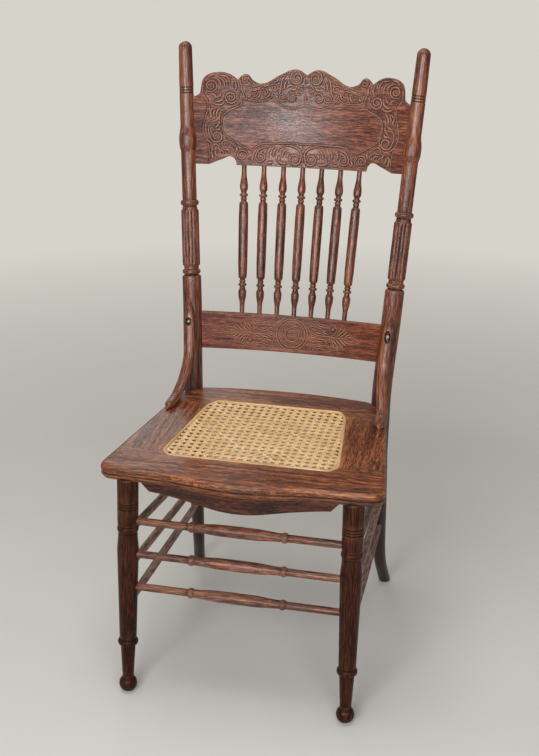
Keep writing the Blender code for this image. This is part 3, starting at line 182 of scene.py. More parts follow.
def smooth_through(levels, values, at):
    """A smooth value through knots, with straight runs past both ends, as the CAD source has it."""
    levels = np.asarray(levels, float)
    values = np.asarray(values, float)
    slopes = np.empty(len(levels))
    slopes[1:-1] = (values[2:] - values[:-2]) / (levels[2:] - levels[:-2])
    slopes[[0, -1]] = (np.diff(values) / np.diff(levels))[[0, -1]]
    i = np.clip(np.searchsorted(levels, at) - 1, 0, len(levels) - 2)
    span = levels[i + 1] - levels[i]
    t = np.clip((at - levels[i]) / span, 0.0, 1.0)
    value = hermite(t, values[i], span * slopes[i], values[i + 1], span * slopes[i + 1])
    past = at - np.clip(at, levels[0], levels[-1])
    return value + past * np.where(at > levels[-1], slopes[-1], slopes[0])


def post_axis(height):
    """Where the middle of the right rear post is at each height."""
    height = np.atleast_1d(np.asarray(height, float))
    rise = np.maximum(height - POST_BEND_HEIGHT, 0.0)
    low = np.minimum(height, POST_BEND_HEIGHT)
    x = smooth_through(POST_HEIGHTS, POST_XS, low) + rise * math.tan(POST_SPLAY)
    y = smooth_through(POST_HEIGHTS, POST_YS, low) + rise * math.tan(POST_LEAN)
    return np.stack((x, y, height), axis=-1)


def leg_axis(height):
    share = height / SEAT_UNDERSIDE
    return np.asarray(LEG_FOOT) * (1 - share) + np.asarray(LEG_TOP) * share


def seat_front(x):
    """How far forward the serpentine front edge of the seat reaches."""
    x = np.abs(x)
    wave = 0.5 * (1 + np.cos(np.pi * np.minimum(x / SEAT_BOW_REACH, 1.0)))
    past = np.maximum(x - SEAT_BOW_REACH, 0.0) / (SEAT_ROUND_X - SEAT_BOW_REACH)
    return SEAT_FRONT_Y - SEAT_FRONT_BOW * wave + SEAT_CORNER_EASE * past**2


class Board:
    """A bowed board that leans back: x across, up along its lean, out towards its hollow front."""

    def __init__(self, level, lean, bow_depth, half_chord):
        self.origin = post_axis(level)[0] * (0.0, 1.0, 1.0)
        self.lean = lean
        self.radius = (half_chord**2 + bow_depth**2) / (2 * bow_depth)
        self.chord = math.sqrt(self.radius**2 - half_chord**2)

    def point(self, x, up, out=0.0):
        back = np.sqrt((self.radius - out) ** 2 - x**2) - self.chord
        y = back * math.cos(self.lean) + up * math.sin(self.lean)
        z = up * math.cos(self.lean) - back * math.sin(self.lean)
        return np.stack((x, y, z), axis=-1) + self.origin


CREST_MIDDLE = CREST_LEVEL + (CREST_BOTTOM + CREST_SHOULDER) / 2 * math.cos(POST_LEAN)
CREST = Board(CREST_LEVEL, POST_LEAN, CREST_BOW_DEPTH, post_axis(CREST_MIDDLE)[0][0])
SLAT = Board(SLAT_LEVEL, SLAT_LEAN, SLAT_BOW_DEPTH, post_axis(SLAT_LEVEL)[0][0])


# Making pieces

SHARP = math.radians(38)
HOLLOW_BENDS = (60.0, 380.0)
PROUD_BENDS = (190.0, 690.0)


def link(name, data):
    obj = bpy.data.objects.new(name, data)
    bpy.context.scene.collection.objects.link(obj)
    return obj


def to_mesh(work, name):
    mesh = bpy.data.meshes.new(name)
    work.to_mesh(mesh)
    work.free()
    return mesh


def evaluated_mesh(obj):
    bpy.context.view_layer.update()
    return bpy.data.meshes.new_from_object(obj.evaluated_get(bpy.context.evaluated_depsgraph_get()))


def read(data, key, width=1, kind=float):
    """A number for each item of mesh data, or a row of them."""
    values = np.empty(len(data) * width, kind)
    data.foreach_get(key, values)
    return values.reshape(-1, width) if width > 1 else values


def places_of(mesh):
    return read(mesh.vertices, "co", 3)


def set_attribute(mesh, name, values):
    values = np.asarray(values, np.float32)
    kind, key = ("FLOAT_VECTOR", "vector") if values.ndim == 2 else ("FLOAT", "value")
    layer = mesh.attributes.get(name) or mesh.attributes.new(name, kind, "POINT")
    layer.data.foreach_set(key, values.ravel())


def deepen(obj, name, amount):
    """Raises a piece's painted shade (hollow) or painted highlight (proud) to an amount given for each of its
    points.
    """
    already = read(obj.data.attributes[name].data, "value")
    set_attribute(obj.data, name, np.maximum(already, amount))


def curvature(mesh):
    """Marks hollows, which are darkened as dirt and painted shade, and proud edges, where the varnish has
    worn.
    """
    places = places_of(mesh)
    normals = read(mesh.vertices, "normal", 3)
    ends = read(mesh.edges, "vertices", 2, int)
    a, b = ends.T
    count = len(places)
    hollow = np.zeros(count)
    proud = np.zeros(count)
    run = places[b] - places[a]
    square = np.maximum((run**2).sum(1), 1e-9)
    for start, direction in ((a, 2.0), (b, -2.0)):
        bend = direction * (run * normals[start]).sum(1) / square
        np.maximum.at(hollow, start, bend)
        np.maximum.at(proud, start, -bend)
    hollow = ramp(hollow, *HOLLOW_BENDS)
    proud = ramp(proud, *PROUD_BENDS)
    degree = np.maximum(np.bincount(ends.ravel(), minlength=count), 1)
    for values in (hollow, proud, hollow, proud):
        near = np.bincount(a, values[b], count) + np.bincount(b, values[a], count)
        values[:] = 0.5 * values + 0.5 * near / degree
    return hollow, proud


def dress(name, mesh, material, node, grain, marks=None, sharp=SHARP):
    """Gives a mesh its wood coordinates, shading, material and body. Marks add dirt, painted shade, rubbed
    edges and painted highlights.
    """
    work = bmesh.new()
    work.from_mesh(mesh)
    bmesh.ops.recalc_face_normals(work, faces=work.faces)
    work.to_mesh(mesh)
    work.free()
    mesh.shade_smooth()
    mesh.set_sharp_from_angle(angle=sharp)
    hollow, proud = curvature(mesh)
    if marks is not None:
        # Given marks: painted shade on the hollows, painted highlights on the proud places
        hollow = np.maximum(hollow * 0.4, marks[0])
        proud = np.maximum(proud * 0.6, marks[1])
    set_attribute(mesh, "grain", grain + RNG.uniform(-3.0, 3.0, 3))
    set_attribute(mesh, "hollow", hollow)
    set_attribute(mesh, "proud", proud)
    mesh.materials.append(material)
    obj = link(name, mesh)
    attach(obj, "root")
    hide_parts(node)
    return obj


def make_piece(name, points, faces, material, node, grain, marks=None, sharp=SHARP):
    """A piece of the chair from points on the seat datum, standing for a CAD node."""
    mesh = bpy.data.meshes.new(name)
    mesh.from_pydata((points.reshape(-1, 3) + DATUM).tolist(), [], faces)
    return dress(name, mesh, material, node, grain.reshape(-1, 3), marks, sharp)


def ring_faces(rings, around, first=0, closed=False):
    """Quads between rings of points, with the end rings joined where it is closed and filled where not."""
    i, j = np.meshgrid(np.arange(rings if closed else rings - 1), np.arange(around), indexing="ij")
    here = i * around
    above = (i + 1) % rings * around
    k = (j + 1) % around
    quads = np.stack((here + j, here + k, above + k, above + j), axis=-1).reshape(-1, 4) + first
    end = np.arange(around) + first
    ends = [] if closed else [end[::-1].tolist(), (end + (rings - 1) * around).tolist()]
    return quads.tolist() + ends


def tube(centres, radii, around, across=(1.0, 0.0, 0.0), flute=0.0, broad=1.0):
    """Rings along a path. Gives points, faces and wood coordinates along and across."""
    tangent = unit(np.gradient(centres, axis=0))
    side = np.broadcast_to(np.asarray(across, float), tangent.shape)
    u = unit(side - (side * tangent).sum(1, keepdims=True) * tangent)
    v = np.cross(tangent, u)
    turn = turns(around)
    radius = np.asarray(radii)[:, None] - flute
    wide = radius * np.cos(turn) * broad
    tall = radius * np.sin(turn)
    points = centres[:, None] + u[:, None] * wide[..., None] + v[:, None] * tall[..., None]
    grain = np.stack(np.broadcast_arrays(lengths_along(centres)[:, None], wide, tall), axis=-1)
    return points, ring_faces(len(centres), around), grain


class Turning:
    """The half section of a turned piece, from its low end up."""

    def __init__(self, start, radius):
        self.at = [start]
        self.radius = [radius]

    def sweep(self, steps, along, size):
        """Adds points by two functions of a share from 0 to 1: how far on they are, and their radius."""
        start = self.at[-1]
        for i in range(1, steps + 1):
            self.at.append(start + along(i / steps))
            self.radius.append(size(i / steps))
        return self

    def run(self, end, radius, steps=4, ease=False):
        length = end - self.at[-1]
        old = self.radius[-1]
        share = smooth if ease else float
        return self.sweep(steps, lambda t: length * t, lambda t: old + (radius - old) * share(t))

    def bead(self, length, height, steps=10):
        """A half round that stands proud, or a cove where the height is below zero."""
        old = self.radius[-1]
        return self.sweep(steps, lambda t: length * (1 - math.cos(math.pi * t)) / 2,
                          lambda t: old + height * math.sin(math.pi * t))

    def shoulder(self, length, radius, steps=6, hollow=False):
        """A quarter round to a new radius, which starts steep, or ends steep where it is hollow."""
        old = self.radius[-1]
        curves = [lambda t: 1 - math.cos(math.pi / 2 * t), lambda t: math.sin(math.pi / 2 * t)]
        along, part = curves[::-1] if hollow else curves
        return self.sweep(steps, lambda t: length * along(t), lambda t: old + (radius - old) * part(t))

    def lines(self, start, step, count, depth, width):
        """Fine lines cut round the piece."""
        for i in range(count):
            self.run(start + i * step - width / 2, self.radius[-1], 2).bead(width, -depth, 6)
        return self


def turned_piece(name, turning, start, end, around, material, node):
    """A straight turned piece, whose places are measured from start towards end."""
    start = np.asarray(start)
    along = unit(end - start)
    across = (0.0, 0.0, 1.0) if abs(along[2]) < 0.5 else (1.0, 0.0, 0.0)
    centres = start + np.array(turning.at)[:, None] * along
    points, faces, grain = tube(centres, turning.radius, around, across)
    roll = RNG.uniform(0.0, math.tau)
    spin = np.array(((math.cos(roll), -math.sin(roll)), (math.sin(roll), math.cos(roll))))
    grain[..., 1:] = grain[..., 1:] @ spin
    return make_piece(name, points, faces, material, node, grain)


# Materials

def srgb(red, green, blue):
    """A colour as it looks on screen, from 0 to 255, as the shader needs it."""
    parts = [value / 255 for value in (red, green, blue)]
    return tuple(p / 12.92 if p <= 0.04045 else ((p + 0.055) / 1.055) ** 2.4 for p in parts)


def shades(*colours):
    return [srgb(*colour) for colour in colours]


class Nodes:
    """A material's node tree, with short ways to add to it."""

    def __init__(self, name):
        self.material = bpy.data.materials.new(name)
        self.material.use_nodes = True
        self.tree = self.material.node_tree
        self.shader = self.tree.nodes["Principled BSDF"]

    def add(self, kind, inputs=(), **properties):
        node = self.tree.nodes.new(kind)
        for key, value in properties.items():
            setattr(node, key, value)
        for key, value in dict(inputs).items():
            self.put(node.inputs[key], value)
        return node

    def put(self, socket, value):
        if isinstance(value, bpy.types.NodeSocket):
            self.tree.links.new(value, socket)
        else:
            socket.default_value = value

    def shade(self, **inputs):
        for key, value in inputs.items():
            self.put(self.shader.inputs[key.replace("_", " ")], value)

    def attribute(self, name, output="Fac"):
        return self.add("ShaderNodeAttribute", attribute_name=name).outputs[output]

    def place(self):
        return self.add("ShaderNodeTexCoord").outputs["Object"]

    def noise(self, vector, scale, detail=3.0, roughness=0.6):
        """Noise stretched by its own scale along each way of the vector."""
        scaled = self.add("ShaderNodeVectorMath", {0: vector, 1: scale}, operation="MULTIPLY")
        inputs = {"Vector": scaled.outputs[0], "Scale": 1.0, "Detail": detail, "Roughness": roughness}
        return self.add("ShaderNodeTexNoise", inputs).outputs["Fac"]

    def span(self, value, low, high, to_low=0.0, to_high=1.0):
        inputs = {"Value": value, "From Min": low, "From Max": high, "To Min": to_low, "To Max": to_high}
        return self.add("ShaderNodeMapRange", inputs).outputs["Result"]

    def math(self, operation, first, second):
        return self.add("ShaderNodeMath", {0: first, 1: second}, operation=operation).outputs[0]

    def times(self, first, second):
        return self.math("MULTIPLY", first, second)

    def total(self, *terms):
        """The sum of values, each times its weight."""
        whole, *rest = [self.times(value, weight) for value, weight in terms]
        for part in rest:
            whole = self.math("ADD", whole, part)
        return whole

    def ramp(self, value, places, colours):
        node = self.add("ShaderNodeValToRGB", {"Fac": value})
        elements = node.color_ramp.elements
        while len(elements) < len(places):
            elements.new(0.5)
        for element, place, colour in zip(elements, places, colours):
            element.position = place
            element.color = (*colour, 1.0)
        return node.outputs["Color"]

    def mix(self, share, first, second, blend="MIX"):
        node = self.add("ShaderNodeMix", data_type="RGBA", blend_type=blend)
        colours = [socket for socket in node.inputs if socket.type == "RGBA"]
        self.put(node.inputs["Factor"], share)
        for socket, value in zip(colours, (first, second)):
            self.put(socket, (*value, 1.0) if isinstance(value, tuple) else value)
        return next(socket for socket in node.outputs if socket.type == "RGBA")

    def bump(self, height, strength, distance):
        inputs = {"Strength": strength, "Distance": distance, "Height": height}
        return self.add("ShaderNodeBump", inputs).outputs["Normal"]


# Dark colour for open pores and for the hollow marks; on the hollow marks it is dirt in creases and painted
# shade in grooves, recesses and under the seat
DIRT_AND_SHADE = srgb(20, 10, 7)
FIGURE_STOPS = (0.42, 0.50, 0.59)
TONE_STOPS = (0.30, 0.52, 0.72)
TONES = ((0.80, 0.77, 0.80), (0.99, 0.99, 0.99), (1.18, 1.10, 0.98))


def oak(name, browns, worn, gloss, rub_and_highlight=0.5, shine=0.45, dash=60.0, bare=0.15, painted_shade=None):
    """Old varnished oak: soft growth bands, dashes of open pores, dirt and painted shade in the hollows,
    rubbed edges and painted highlights.
    """
    n = Nodes(name)
    grain = n.attribute("grain", "Vector")
    bands = n.noise(grain, (5.0, 120.0, 120.0), 3.0, 0.55)
    dashes = n.noise(grain, (dash, 520.0, 520.0))
    fibre = n.noise(grain, (40.0, 1500.0, 1500.0))
    pores = n.noise(grain, (130.0, 2100.0, 2100.0), 1.0, 0.5)
    patch = n.noise(grain, (7.0, 20.0, 20.0), 3.0, 0.55)
    figure = n.total((bands, 0.27), (dashes, 0.48), (fibre, 0.25))
    colour = n.ramp(figure, FIGURE_STOPS, browns)
    # Painted shade: the lower rear posts blend into the darker leg browns
    if painted_shade:
        colour = n.mix(n.attribute("painted_shade"), colour, n.ramp(figure, FIGURE_STOPS, painted_shade))
    colour = n.mix(1.0, colour, n.ramp(patch, TONE_STOPS, TONES), "MULTIPLY")
    open_pore = n.times(n.span(pores, 0.55, 0.65), n.span(bands, 0.40, 0.58, 1.0, 0.35))
    colour = n.mix(n.times(open_pore, 0.7), colour, DIRT_AND_SHADE)
    # Proud marks lighten towards the rubbed colour: real rubbing on edges, and a painted highlight on pressed
    # ridges and the seat's front arris
    scuffs = n.span(n.noise(grain, (40.0, 130.0, 130.0)), 0.38, 0.60, bare, 1.0)
    colour = n.mix(n.times(n.attribute("proud"), n.times(scuffs, rub_and_highlight)), colour, worn)
    # Hollow marks darken towards the dark colour: dirt, and painted shade in grooves, recesses, under the
    # seat edge and on the lower posts
    dirt_and_shade = n.times(n.attribute("hollow"), 0.85)
    colour = n.mix(dirt_and_shade, colour, DIRT_AND_SHADE)
    dull = n.span(patch, 0.30, 0.70, gloss - 0.05, gloss + 0.10)
    rough = n.total((dull, 1.0), (open_pore, 0.2), (dirt_and_shade, 0.15))
    height = n.total((fibre, 0.5), (dashes, 1.0), (open_pore, -1.0))
    n.shade(Base_Color=colour, Roughness=rough, Normal=n.bump(height, 0.35, 0.0004))
    n.shade(Coat_Weight=shine * 0.4, Coat_Roughness=0.24, Specular_IOR_Level=shine)
    return n.material


LEG_BROWNS = shades((28, 13, 7), (50, 23, 13), (84, 42, 25))
# Under the seat the posts take the leg browns, a painted shade
POST_OAK = oak("post_oak_varnished", shades((62, 30, 20), (110, 59, 40), (166, 101, 67)), srgb(188, 122, 80),
               0.27, dash=40.0, painted_shade=LEG_BROWNS)
SPINDLE_OAK = oak("spindle_oak_varnished", shades((52, 23, 14), (100, 50, 33), (160, 92, 58)),
                  srgb(190, 118, 74), 0.27, dash=40.0)
RAIL_OAK = oak("rail_oak_varnished", shades((56, 27, 20), (106, 57, 41), (164, 100, 74)), srgb(184, 130, 106),
               0.33, 0.75, 0.46, bare=0.6)
SLAT_OAK = oak("lower_rail_oak_varnished", shades((60, 26, 17), (106, 52, 34), (150, 82, 54)),
               srgb(190, 134, 104), 0.36, 0.80, 0.26, bare=0.75)
SEAT_OAK = oak("seat_oak_varnished", shades((50, 22, 12), (106, 55, 32), (174, 104, 58)), srgb(192, 132, 82),
               0.33, 0.6, 0.31)
# The apron's dark browns are painted shade under the seat's edge
SHADED_APRON_OAK = oak("apron_oak_varnished", shades((34, 17, 12), (61, 32, 22), (100, 56, 39)), srgb(140, 88, 61),
                0.34, 0.5, 0.2)
LEG_OAK = oak("leg_oak_varnished", LEG_BROWNS, srgb(132, 80, 54), 0.22, 0.5, 0.10, 40.0)
STRETCHER_OAK = oak("stretcher_oak_varnished", shades((60, 30, 21), (104, 58, 40), (160, 102, 72)),
                    srgb(188, 142, 108), 0.34, 0.7, 0.35, 50.0)
WORN_OAK = oak("side_stretcher_oak_worn", shades((84, 58, 48), (134, 102, 88), (184, 152, 134)),
               srgb(200, 170, 150), 0.46, 0.8, 0.2, 50.0)


def bare_wood(name):
    """Unvarnished oak of the hidden pieces, whose grain follows the part's own axes."""
    n = Nodes(name)
    place = n.place()
    bands = n.noise(place, (90.0, 160.0, 300.0), 4.0)
    fibre = n.noise(place, (700.0, 700.0, 1300.0), 2.0)
    browns = shades((104, 72, 46), (138, 100, 66), (168, 128, 88))
    colour = n.ramp(n.total((bands, 0.6), (fibre, 0.4)), (0.36, 0.5, 0.66), browns)
    rough = n.span(fibre, 0.3, 0.7, 0.55, 0.75)
    n.shade(Base_Color=colour, Roughness=rough, Normal=n.bump(fibre, 0.3, 0.0004))
    return n.material


def steel(name):
    """Old plated steel with fine scratches and dull spots."""
    n = Nodes(name)
    place = n.place()
    spots = n.noise(place, (600.0, 600.0, 600.0))
    scratch = n.noise(place, (5200.0, 700.0, 900.0), 2.0)
    colour = n.ramp(spots, (0.34, 0.55, 0.75), shades((84, 76, 68), (140, 136, 130), (178, 174, 168)))
    n.shade(Base_Color=colour, Roughness=n.span(scratch, 0.3, 0.7, 0.32, 0.52), Metallic=1.0)
    n.shade(Normal=n.bump(scratch, 0.2, 0.0002))
    return n.material


def cane(name, straws):
    """Split cane: straw with fine fibres along each strand and strands that differ."""
    n = Nodes(name)
    grain = n.attribute("grain", "Vector")
    fibre = n.noise(grain, (60.0, 3200.0, 3200.0))
    strand = n.noise(grain, (9.0, 40.0, 40.0), 2.0)
    colour = n.ramp(n.total((strand, 0.65), (fibre, 0.35)), (0.34, 0.52, 0.70), straws)
    # Hollow marks darken the cane: painted shade at the hole rims and on the strands' undersides
    colour = n.mix(n.times(n.attribute("hollow"), 0.85), colour, srgb(70, 42, 20))
    rough = n.span(fibre, 0.3, 0.7, 0.36, 0.55)
    n.shade(Base_Color=colour, Roughness=rough, Normal=n.bump(fibre, 0.3, 0.0002))
    n.shade(Coat_Weight=0.15, Coat_Roughness=0.25)
    return n.material


HIDDEN_OAK = bare_wood("hidden_oak_bare")
STEEL = steel("screw_steel_old")
CANE = cane("cane_strands", shades((188, 141, 88), (232, 192, 136), (248, 222, 180)))
SPLINE_REED = cane("cane_spline_reed", shades((160, 118, 74), (204, 164, 114), (230, 196, 150)))


# Rear posts

REED_COUNT = 12
REED_DEPTH = 0.0019
REED_LOW = 0.6760
REED_HIGH = 0.7805
REED_TOP = 0.7845
REED_FADE = 0.007
POST_SIDES = 72
# Painted shade on the rear posts below the seat: how dark, and the levels it fades in over
POST_FOOT_SHADE = 0.6
POST_SHADE_LEVELS = (0.595, 0.395)
POST_SHADE_BLEND_LEVELS = (0.53, 0.33)
POST_POCKET = 0.0056
POST_DOME = 0.012
POST_DOME_TURN = math.pi / 2 * 10 / 10.4
CUT_SHADE_REACH = 0.002


def post_turning():
    t = Turning(0.0, 0.0108)
    t.shoulder(0.0016, 0.0118).run(0.0375, 0.0118, 6).run(0.075, 0.0124, 7).run(0.200, 0.0142, 18)
    t.run(0.308, 0.0160, 14).run(SEAT_UNDERSIDE, POST_LOWER_RADIUS, 14, True)
    t.run(0.600, POST_LOWER_RADIUS, 26)
    t.run(0.652, 0.0187, 4).shoulder(0.0046, 0.0172, 6, True).run(0.6585, 0.0139, 2).run(0.6598, 0.0144, 1)
    t.bead(0.0092, 0.0036, 12).run(0.6702, 0.0146, 2).run(0.6755, 0.0146, 4).shoulder(0.0050, 0.0173, 6)
    t.run(REED_HIGH, 0.0173, 60).shoulder(0.0046, 0.0150, 6, True)
    t.run(0.7900, 0.0142, 4).run(0.7916, 0.0137, 2).run(0.7928, 0.0143, 1).bead(0.0104, 0.0037, 12)
    t.run(0.8044, 0.0138, 2).run(0.8080, 0.0141, 3).run(0.894, 0.0141, 12)
    t.run(0.9085, 0.0169, 10, True).run(0.920, 0.0170, 5).run(0.946, 0.0137, 14, True)
    t.lines(1.005, 0.005, 3, 0.0008, 0.0024).run(1.088, 0.0128, 10)
    return t.sweep(10, lambda s: POST_DOME * math.sin(POST_DOME_TURN * s),
                   lambda s: 0.0128 * math.cos(POST_DOME_TURN * s))


def reeds(heights):
    """How deep the hollows between the reeds are at each height, for each turn round the post."""
    fade = np.sqrt(np.clip(np.minimum(heights - REED_LOW, REED_TOP - heights) / REED_FADE, 0.0, 1.0))
    ridge = np.abs(np.sin(turns(POST_SIDES) * REED_COUNT / 2)) ** 0.75
    return REED_DEPTH * fade[:, None] * (1 - ridge)


def carve(obj, cutters):
    """Cuts recesses into a piece, keeping the wood coordinates of the points that stay."""
    old = places_of(obj.data)
    grain = read(obj.data.attributes["grain"].data, "vector", 3)
    for tool in cutters:
        modifier = obj.modifiers.new("recess", "BOOLEAN")
        modifier.operation = "DIFFERENCE"
        modifier.solver = "EXACT"
        modifier.object = tool
    cut = evaluated_mesh(obj)
    obj.modifiers.clear()
    for tool in cutters:
        bpy.data.objects.remove(tool, do_unlink=True)
    tree = KDTree(len(old))
    for i, place in enumerate(old):
        tree.insert(place, i)
    tree.balance()
    found = [tree.find(place) for place in places_of(cut)]
    nearest = [index for _, index, _ in found]
    offset = np.array([gap for _, _, gap in found])
    cut.shade_smooth()
    cut.set_sharp_from_angle(angle=SHARP)
    hollow, proud = curvature(cut)
    set_attribute(cut, "grain", grain[nearest] + offset[:, None] * (0.0, 0.7, 0.7))
    # Painted shade in the cut recesses: the deeper below the old surface, the darker
    set_attribute(cut, "hollow", np.maximum(hollow, np.clip(offset / CUT_SHADE_REACH, 0.0, 0.9)))
    set_attribute(cut, "proud", proud)
    obj.data = cut


def placed(place, axes, sizes):
    """Brings a unit shape to a place on the seat datum, with its own axes and sizes."""
    turn = Matrix([Vector(axis) for axis in axes]).transposed().to_4x4()
    return Matrix.Translation(Vector(np.asarray(place) + DATUM)) @ turn @ Matrix.Diagonal((*sizes, 1.0))


def cutter(work):
    tool = link("cutter", to_mesh(work, "cutter"))
    tool.hide_render = True
    return tool


def pocket(place, inward, up, half_sizes):
    """A rounded cutter, with its half sizes across, up and inward."""
    inward = unit(inward)
    up = unit(up - inward * np.dot(up, inward))
    work = bmesh.new()
    bmesh.ops.create_uvsphere(work, u_segments=28, v_segments=18, radius=1.0)
    work.transform(placed(place, (np.cross(up, inward), up, inward), half_sizes))
    return cutter(work)


SEAT_CORNER_OUT = unit((SEAT_REAR_Y - SEAT_SIDE_REAR[1], SEAT_SIDE_REAR[0] - SEAT_REAR_HALF, 0.0))


def make_posts():
    turning = post_turning()
    heights = np.array(turning.at)
    for name, sign in SIDES:
        centres = mirror_x(post_axis(heights), sign)
        points, faces, grain = tube(centres, turning.radius, POST_SIDES, flute=reeds(heights))
        points[..., 2] = np.maximum(points[..., 2], 0.0)
        post = make_piece(f"post_{name}", points, faces, POST_OAK, f"rear_post_{name}", grain)
        at = mirror_x(post_axis(SEAT_MIDDLE)[0] + SEAT_CORNER_OUT * POST_LOWER_RADIUS, sign)
        sizes = (POST_POCKET, POST_POCKET, POST_SCREW_SINK + MM)
        carve(post, [pocket(at, mirror_x(SEAT_CORNER_OUT, sign), (0, 0, 1), sizes)])
        levels = places_of(post.data)[:, 2]
        # Painted shade below the seat, as dark hollow marks and a blend into the leg browns
        deepen(post, "hollow", POST_FOOT_SHADE * ramp(levels, *POST_SHADE_LEVELS))
        set_attribute(post.data, "painted_shade", smooth(ramp(levels, *POST_SHADE_BLEND_LEVELS)))


# Pressed ornament

STROKE_STEP = 0.6
TAPER_SHARE = 0.3
SCROLL_EYE = 0.2


def resample(points):
    """A smooth line through control points, as points about a step apart, in millimetres."""
    points = np.asarray(points, float)
    padded = np.vstack((2 * points[0] - points[1], points, 2 * points[-1] - points[-2]))
    made = []
    for a, b, c, d in zip(padded, padded[1:], padded[2:], padded[3:]):
        count = max(2, int(np.linalg.norm(c - b) / STROKE_STEP))
        t = np.arange(count)[:, None] / count
        square = 2 * a - 5 * b + 4 * c - d
        cube = 3 * b - a - 3 * c + d
        made.append(0.5 * (2 * b + (c - a) * t + square * t**2 + cube * t**3))
    return np.vstack((*made, points[-1:]))


def spiral(x, t, radius, rounds, start, hand):
    """A scroll that winds in round its middle, as control points. Start is in degrees, counter-clockwise."""
    s = np.linspace(0.0, 1.0, max(6, int(12 * rounds)) + 1)
    size = radius * (1 - (1 - SCROLL_EYE) * s**1.35)
    angle = math.radians(start) + hand * math.tau * rounds * s
    return np.stack((x + size * np.cos(angle), t + size * np.sin(angle)), axis=-1)


class Relief:
    """A height in millimetres over a field of places, raised and cut by strokes."""

    def __init__(self, x, t):
        self.x = x
        self.t = t
        self.rise = np.zeros(x.shape)
        self.cut = np.zeros(x.shape)

    def press(self, where, ridge, groove, k, beside, spread):
        """Raises a ridge and cuts a groove beside it. The ridge ends where k is 1."""
        self.rise[where] = np.maximum(self.rise[where], ridge)
        self.cut[where] = np.maximum(self.cut[where], groove * np.exp(-(((k - beside) / spread) ** 2)))

    def near(self, line, reach):
        """Which places lie near a line, how far from it, and at what share of its length."""
        low = line.min(0) - reach
        high = line.max(0) + reach
        inside = (self.x > low[0]) & (self.x < high[0]) & (self.t > low[1]) & (self.t < high[1])
        places = np.stack((self.x[inside], self.t[inside]), axis=-1)
        best = np.full(len(places), 1e9)
        share = np.zeros(len(places))
        run = line[1:] - line[:-1]
        length = np.maximum((run**2).sum(1), 1e-9)
        for i in range(len(run)):
            k = np.clip(((places - line[i]) @ run[i]) / length[i], 0.0, 1.0)
            gap = ((places - line[i] - k[:, None] * run[i]) ** 2).sum(1)
            closer = gap < best
            best = np.where(closer, gap, best)
            share = np.where(closer, (i + k) / len(run), share)
        return inside, np.sqrt(best), share

    def stroke(self, points, width, height, groove, taper, vein=0.0):
        """A rounded ridge along a line, with a groove beside it. Taper is the size left at each end."""
        where, gap, share = self.near(resample(points), width * 2.6)
        first, last = taper
        size = first + (1 - first) * share / TAPER_SHARE
        size = np.minimum(size, last + (1 - last) * (1 - share) / TAPER_SHARE)
        size = np.clip(size, 0.2, 1.0)
        k = gap / (width * size)
        ridge = height * np.clip(1 - k**2, 0.0, 1.0) * (0.6 + 0.4 * size)
        ridge -= vein * np.exp(-((gap / 0.55) ** 2)) * (k < 0.9)
        self.press(where, ridge, groove, k, 1.32, 0.42)

    def strokes(self, lines, *style):
        for line in lines:
            self.stroke(line, *style)

    def dot(self, x, t, radius, height):
        gap = np.hypot(self.x - x, self.t - t)
        where = gap < radius * 2.2
        k = gap[where] / radius
        self.press(where, height * np.clip(1 - k**2, 0.0, 1.0), 0.6, k, 1.35, 0.4)

    def ring(self, radius, width, height):
        k = np.abs(np.hypot(self.x, self.t) - radius) / width
        self.press(..., height * np.clip(1 - k**2, 0.0, 1.0), 0.6, k, 1.4, 0.45)

    def height(self):
        return self.rise - self.cut * np.exp(-self.rise / 0.25)


def polygon_gap(x, t, outline):
    """How far each place lies inside a closed outline, below zero outside it."""
    best = np.full(x.shape, 1e9)
    inside = np.zeros(x.shape, bool)
    for (ax, at), (bx, bt) in edges_of(outline):
        rx, rt = bx - ax, bt - at
        k = np.clip(((x - ax) * rx + (t - at) * rt) / max(rx * rx + rt * rt, 1e-12), 0.0, 1.0)
        best = np.minimum(best, (x - ax - k * rx) ** 2 + (t - at - k * rt) ** 2)
        inside ^= ((at > t) != (bt > t)) & (x < ax + (t - at) * rx / (rt if rt else 1e-12))
    return np.where(inside, 1.0, -1.0) * np.sqrt(best)


def ground_texture(x, t):
    """The fine uneven ground between the pressed lines."""
    return 0.16 * np.sin(x * 2.9 + 1.3 * np.sin(t * 1.7)) * np.sin(t * 3.1 + 1.1 * np.sin(x * 2.3))


# Strokes: width, height, groove, size left at both ends, vein. The width of a scroll follows its radius
PANEL_STYLE = (1.25, 1.2, 1.15, (0.9, 0.9))
MARGIN_STYLE = (1.2, 1.2, 1.1, (0.9, 0.9))
LINE_STYLE = (1.3, 1.1, 1.0, (0.6, 0.5))
SCROLL_STYLE = (1.45, 1.0, (0.5, 0.7))
LEAF_STYLE = (2.1, 1.3, 0.9, (0.3, 0.15), 0.25)
STEM_STYLE = (1.2, 1.25, 0.8, (0.9, 0.5))
TIP_STYLE = (1.0, 1.0, 0.7, (0.6, 0.5))
SPRAY_STYLE = (1.1, 1.2, 0.8, (0.5, 0.6))
SPRAY_LEAF_STYLE = (1.55, 1.15, 0.9, (0.3, 0.15), 0.25)

